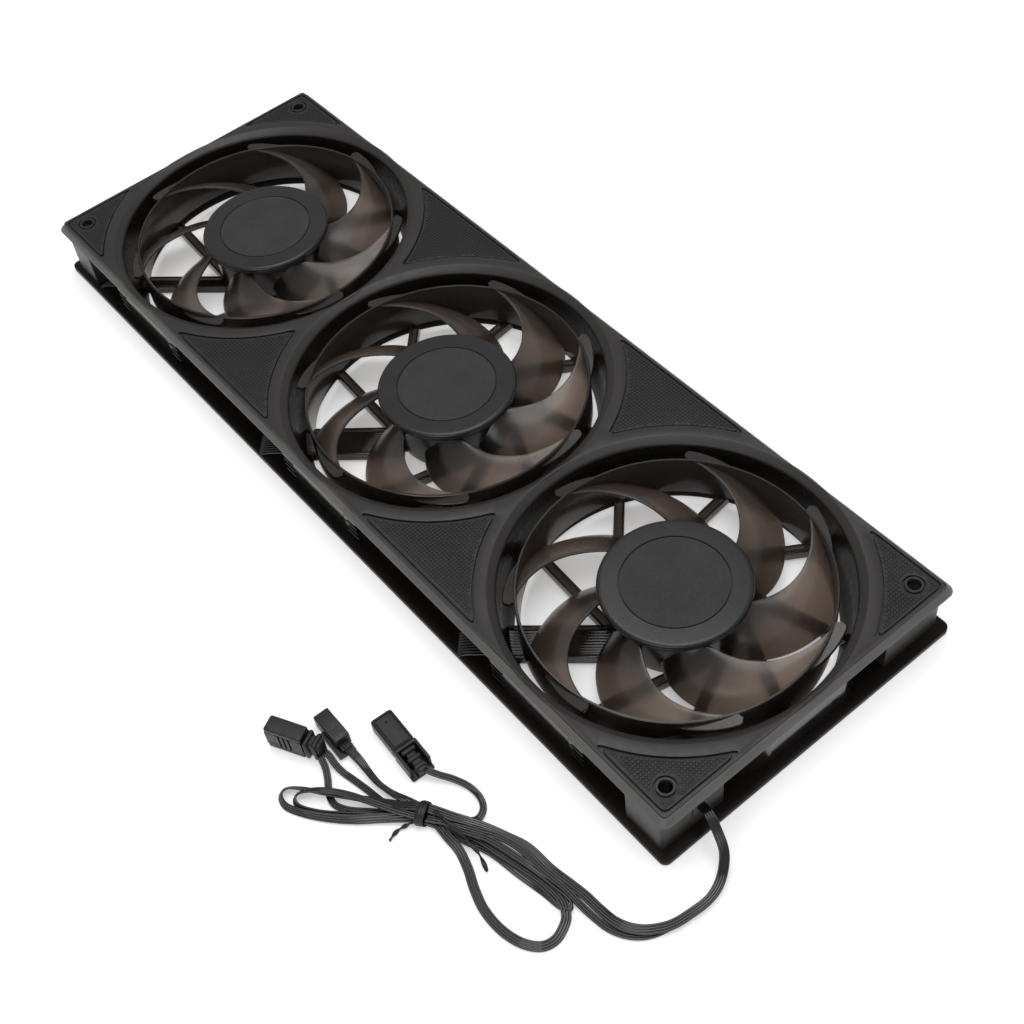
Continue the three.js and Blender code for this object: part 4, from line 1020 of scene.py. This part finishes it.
def blade_shape():
    """One swept blade with rounded edges, thicker where it meets the hub."""
    spans, chords = 30, 22
    upper, lower = [], []
    for i in range(spans + 1):
        r = BLADE_ROOT + (RING_INNER + 0.5 - BLADE_ROOT) * i / spans
        root = math.exp(-max(0, r - HUB_RADIUS) / 1.6)
        rows = ([], [])
        for j in range(chords + 1):
            chord = (1 - math.cos(math.pi * j / chords)) / 2
            here = blade_middle(r, chord)
            along_r = blade_middle(r + 0.05, chord) - here
            step = 0.004 if chord < 0.5 else -0.004
            along_c = (blade_middle(r, chord + step) - here) / step
            normal = along_c.cross(along_r).normalized()
            if normal.z < 0:
                normal = -normal
            shape = (1 - (2 * chord - 1) ** 10) ** 0.5
            half = (0.62 + 0.9 * root) * (0.28 + 0.72 * shape) if 0 < j < chords else 0.14
            rows[0].append(here + normal * half)
            rows[1].append(here - normal * half)
        upper.append(rows[0])
        lower.append(rows[1])
    loops = [top + list(reversed(bottom)) for top, bottom in zip(upper, lower)]
    corners, faces = grid(loops)
    count = len(loops[0])
    faces += [tuple(reversed(range(count))), tuple(range(spans * count, (spans + 1) * count))]
    return corners, faces


def winglet_shape():
    """The small wing outside the ring: a round nose at its leading end, tapering to nothing."""
    nose, tail, outer = 0.6, -23, 55.7
    steps = 26
    line_out, line_in = [], []
    for i in range(steps + 1):
        share = i / steps
        angle = nose + (tail - nose) * share
        front = min(1, share / 0.09)
        round_nose = math.sqrt(max(0, 1 - (1 - front) ** 2))
        width = (outer - WING_ROOT) * (1 - share**1.7) * round_nose
        middle = WING_ROOT + (outer - WING_ROOT) * 0.5 * (1 - round_nose)
        line_out.append((middle + max(0.04, width), angle, share))
        line_in.append((middle, angle, share))
    rows = []
    for (out, angle, share), (inner, _, _) in zip(line_out, line_in):
        top = RING_TOP - 2.3 * share
        bottom = top - 1.5 + 0.5 * share
        way = Vector((math.cos(math.radians(angle)), math.sin(math.radians(angle))))
        soft = min(0.3, (out - inner) / 3)
        section = [(inner, bottom), (inner, top), (out - soft, top), (out, top - 0.3), (out, bottom + 0.2),
                   (out - soft, bottom)]
        rows.append([Vector((way.x * r, way.y * r, z)) for r, z in section])
    corners, faces = grid(rows)
    faces += [(5, 4, 3, 2, 1, 0), tuple(range(steps * 6, steps * 6 + 6))]
    return corners, faces


def impeller_shape():
    high, low, soft = RING_TOP - 0.3, RING_BOTTOM + 0.3, 0.25
    ring = revolved([(RING_INNER, low), (RING_INNER, high), (RING_INNER + 0.2, RING_TOP),
                     (RING_OUTER - soft, RING_TOP), (RING_OUTER, high), (RING_OUTER, low),
                     (RING_OUTER - soft, RING_BOTTOM), (RING_INNER + soft, RING_BOTTOM)], 180)
    hub = revolved([(20.9, 5.2), (21.7, 5.2), (22.1, 5.5), (22.4, 9), (22.6, 20.8), (22.3, 21.5),
                    (21.8, 21.8), (0, 21.8), (0, 19.6), (20.9, 19.6)], 120)
    blade, winglet = blade_shape(), winglet_shape()
    turns = [360 * k / BLADES for k in range(BLADES)]
    blades = [placed(blade, turn=turn) for turn in turns]
    wings = [placed(winglet, turn=turn) for turn in turns]
    return joined(ring, hub, *blades, *wings)


def cap_shape():
    """The hub cap: a flat rim, a rounded edge, a bead below it and a seat for the badge."""
    return revolved([
        (0, 22.1), (24.3, 22.1), (24.3, 20.15), (24.75, 20.05), (24.95, 20.3), (24.85, 20.7),
        (24.6, 20.9), (24.75, 21.05), (25.15, 21.3), (25.3, 21.7), (25.25, 22.15), (25.02, 22.6),
        (24.65, 22.93), (24.2, 23.08), (23.6, 23.1), (18.3, 23.1), (18.18, 23.0), (18.14, 22.5), (0, 22.5),
    ], 180)


def badge_shape():
    return revolved([(0, 22.7), (17.75, 22.7), (17.84, 22.8), (17.84, 22.98), (17.7, 23.08), (0, 23.1)], 120)


def make_rotors():
    impeller, cap, badge = impeller_shape(), cap_shape(), badge_shape()
    for fan in FANS:
        n, body, spot = fan["number"], f"rotor_{fan['number']}", (fan["x"], 0, 0, fan["phase"])
        blades = piece(f"impeller_blades_{n}", placed(impeller, *spot), BLADE, body,
                       [f"impeller_{n}"], 38)
        second_look(blades, fan, RING, RING_INNER - 0.1)
        piece(f"hub_cover_{n}", placed(cap, *spot), CAP, body, [f"hub_cap_{n}"])
        piece(f"badge_disc_{n}", placed(badge, *spot), BADGE, body, [f"hub_badge_{n}"])


make_rotors()


# ---- The motors' CAD parts ----
def paint_motors():
    steel = metal("motor_steel", (0.55, 0.55, 0.57), 0.35)
    copper = metal("copper_wire", (0.72, 0.3, 0.14), 0.35)
    bronze = metal("sintered_bronze", (0.5, 0.34, 0.16), 0.55)
    board = satin_black("solder_mask", (0.012, 0.07, 0.03), 0.35, 0.5, 1800, 0.00002)
    magnet = satin_black("bonded_magnet", (0.03, 0.029, 0.029), 0.6, 0.75, 2500, 0.00005)
    label = satin_black("label_film", (0.38, 0.38, 0.39), 0.5, 0.6, 900, 0.00001)
    finishes = {"stator_core": steel, "windings": copper, "bearing_sleeve": bronze, "circuit_board": board,
                "rear_label": label, "rotor_yoke": steel, "magnet_ring": magnet, "shaft": steel}
    for fan in FANS:
        for part, material in finishes.items():
            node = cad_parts[f"{part}_{fan['number']}"]
            for place in node.material_slots:
                place.material = material


paint_motors()


# ---- Floor and light ----
def make_floor():
    look = Look("pale_floor", (0.85, 0.85, 0.85), 0.9)
    look.shader.inputs["Emission Color"].default_value = (1, 1, 1, 1)
    look.shader.inputs["Emission Strength"].default_value = 0.35
    look.bump(look.noise(300, 2), 0.0002, 0.05)
    mesh = bpy.data.meshes.new("floor")
    reach = 4
    mesh.from_pydata([(-reach, -reach, 0), (reach, -reach, 0), (reach, reach, 0), (-reach, reach, 0)],
                     [], [(0, 1, 2, 3)])
    mesh.materials.append(look.material)
    floor = bpy.data.objects.new("floor", mesh)
    bpy.context.scene.collection.objects.link(floor)


def area_light(name, spot, aim, size, power):
    light = bpy.data.lights.new(name, "AREA")
    light.shape = "RECTANGLE"
    light.size, light.size_y = size
    light.energy = power
    obj = bpy.data.objects.new(name, light)
    obj.location = spot
    obj.rotation_euler = (Vector(aim) - Vector(spot)).to_track_quat("-Z", "Y").to_euler()
    bpy.context.scene.collection.objects.link(obj)


def make_light():
    scene = bpy.context.scene
    scene.world = bpy.data.worlds.new("studio")
    scene.world.use_nodes = True
    background = scene.world.node_tree.nodes["Background"]
    background.inputs["Color"].default_value = (1, 1, 1, 1)
    background.inputs["Strength"].default_value = 0.5
    area_light("overhead", (0.0, 0.1, 1.3), (0, 0, 0), (1.2, 0.9), 9.5)
    area_light("front", (0.7, -1.0, 0.6), (0.05, 0, 0), (0.9, 0.5), 3.2)
    scene.view_settings.view_transform = "Standard"


make_floor()
make_light()
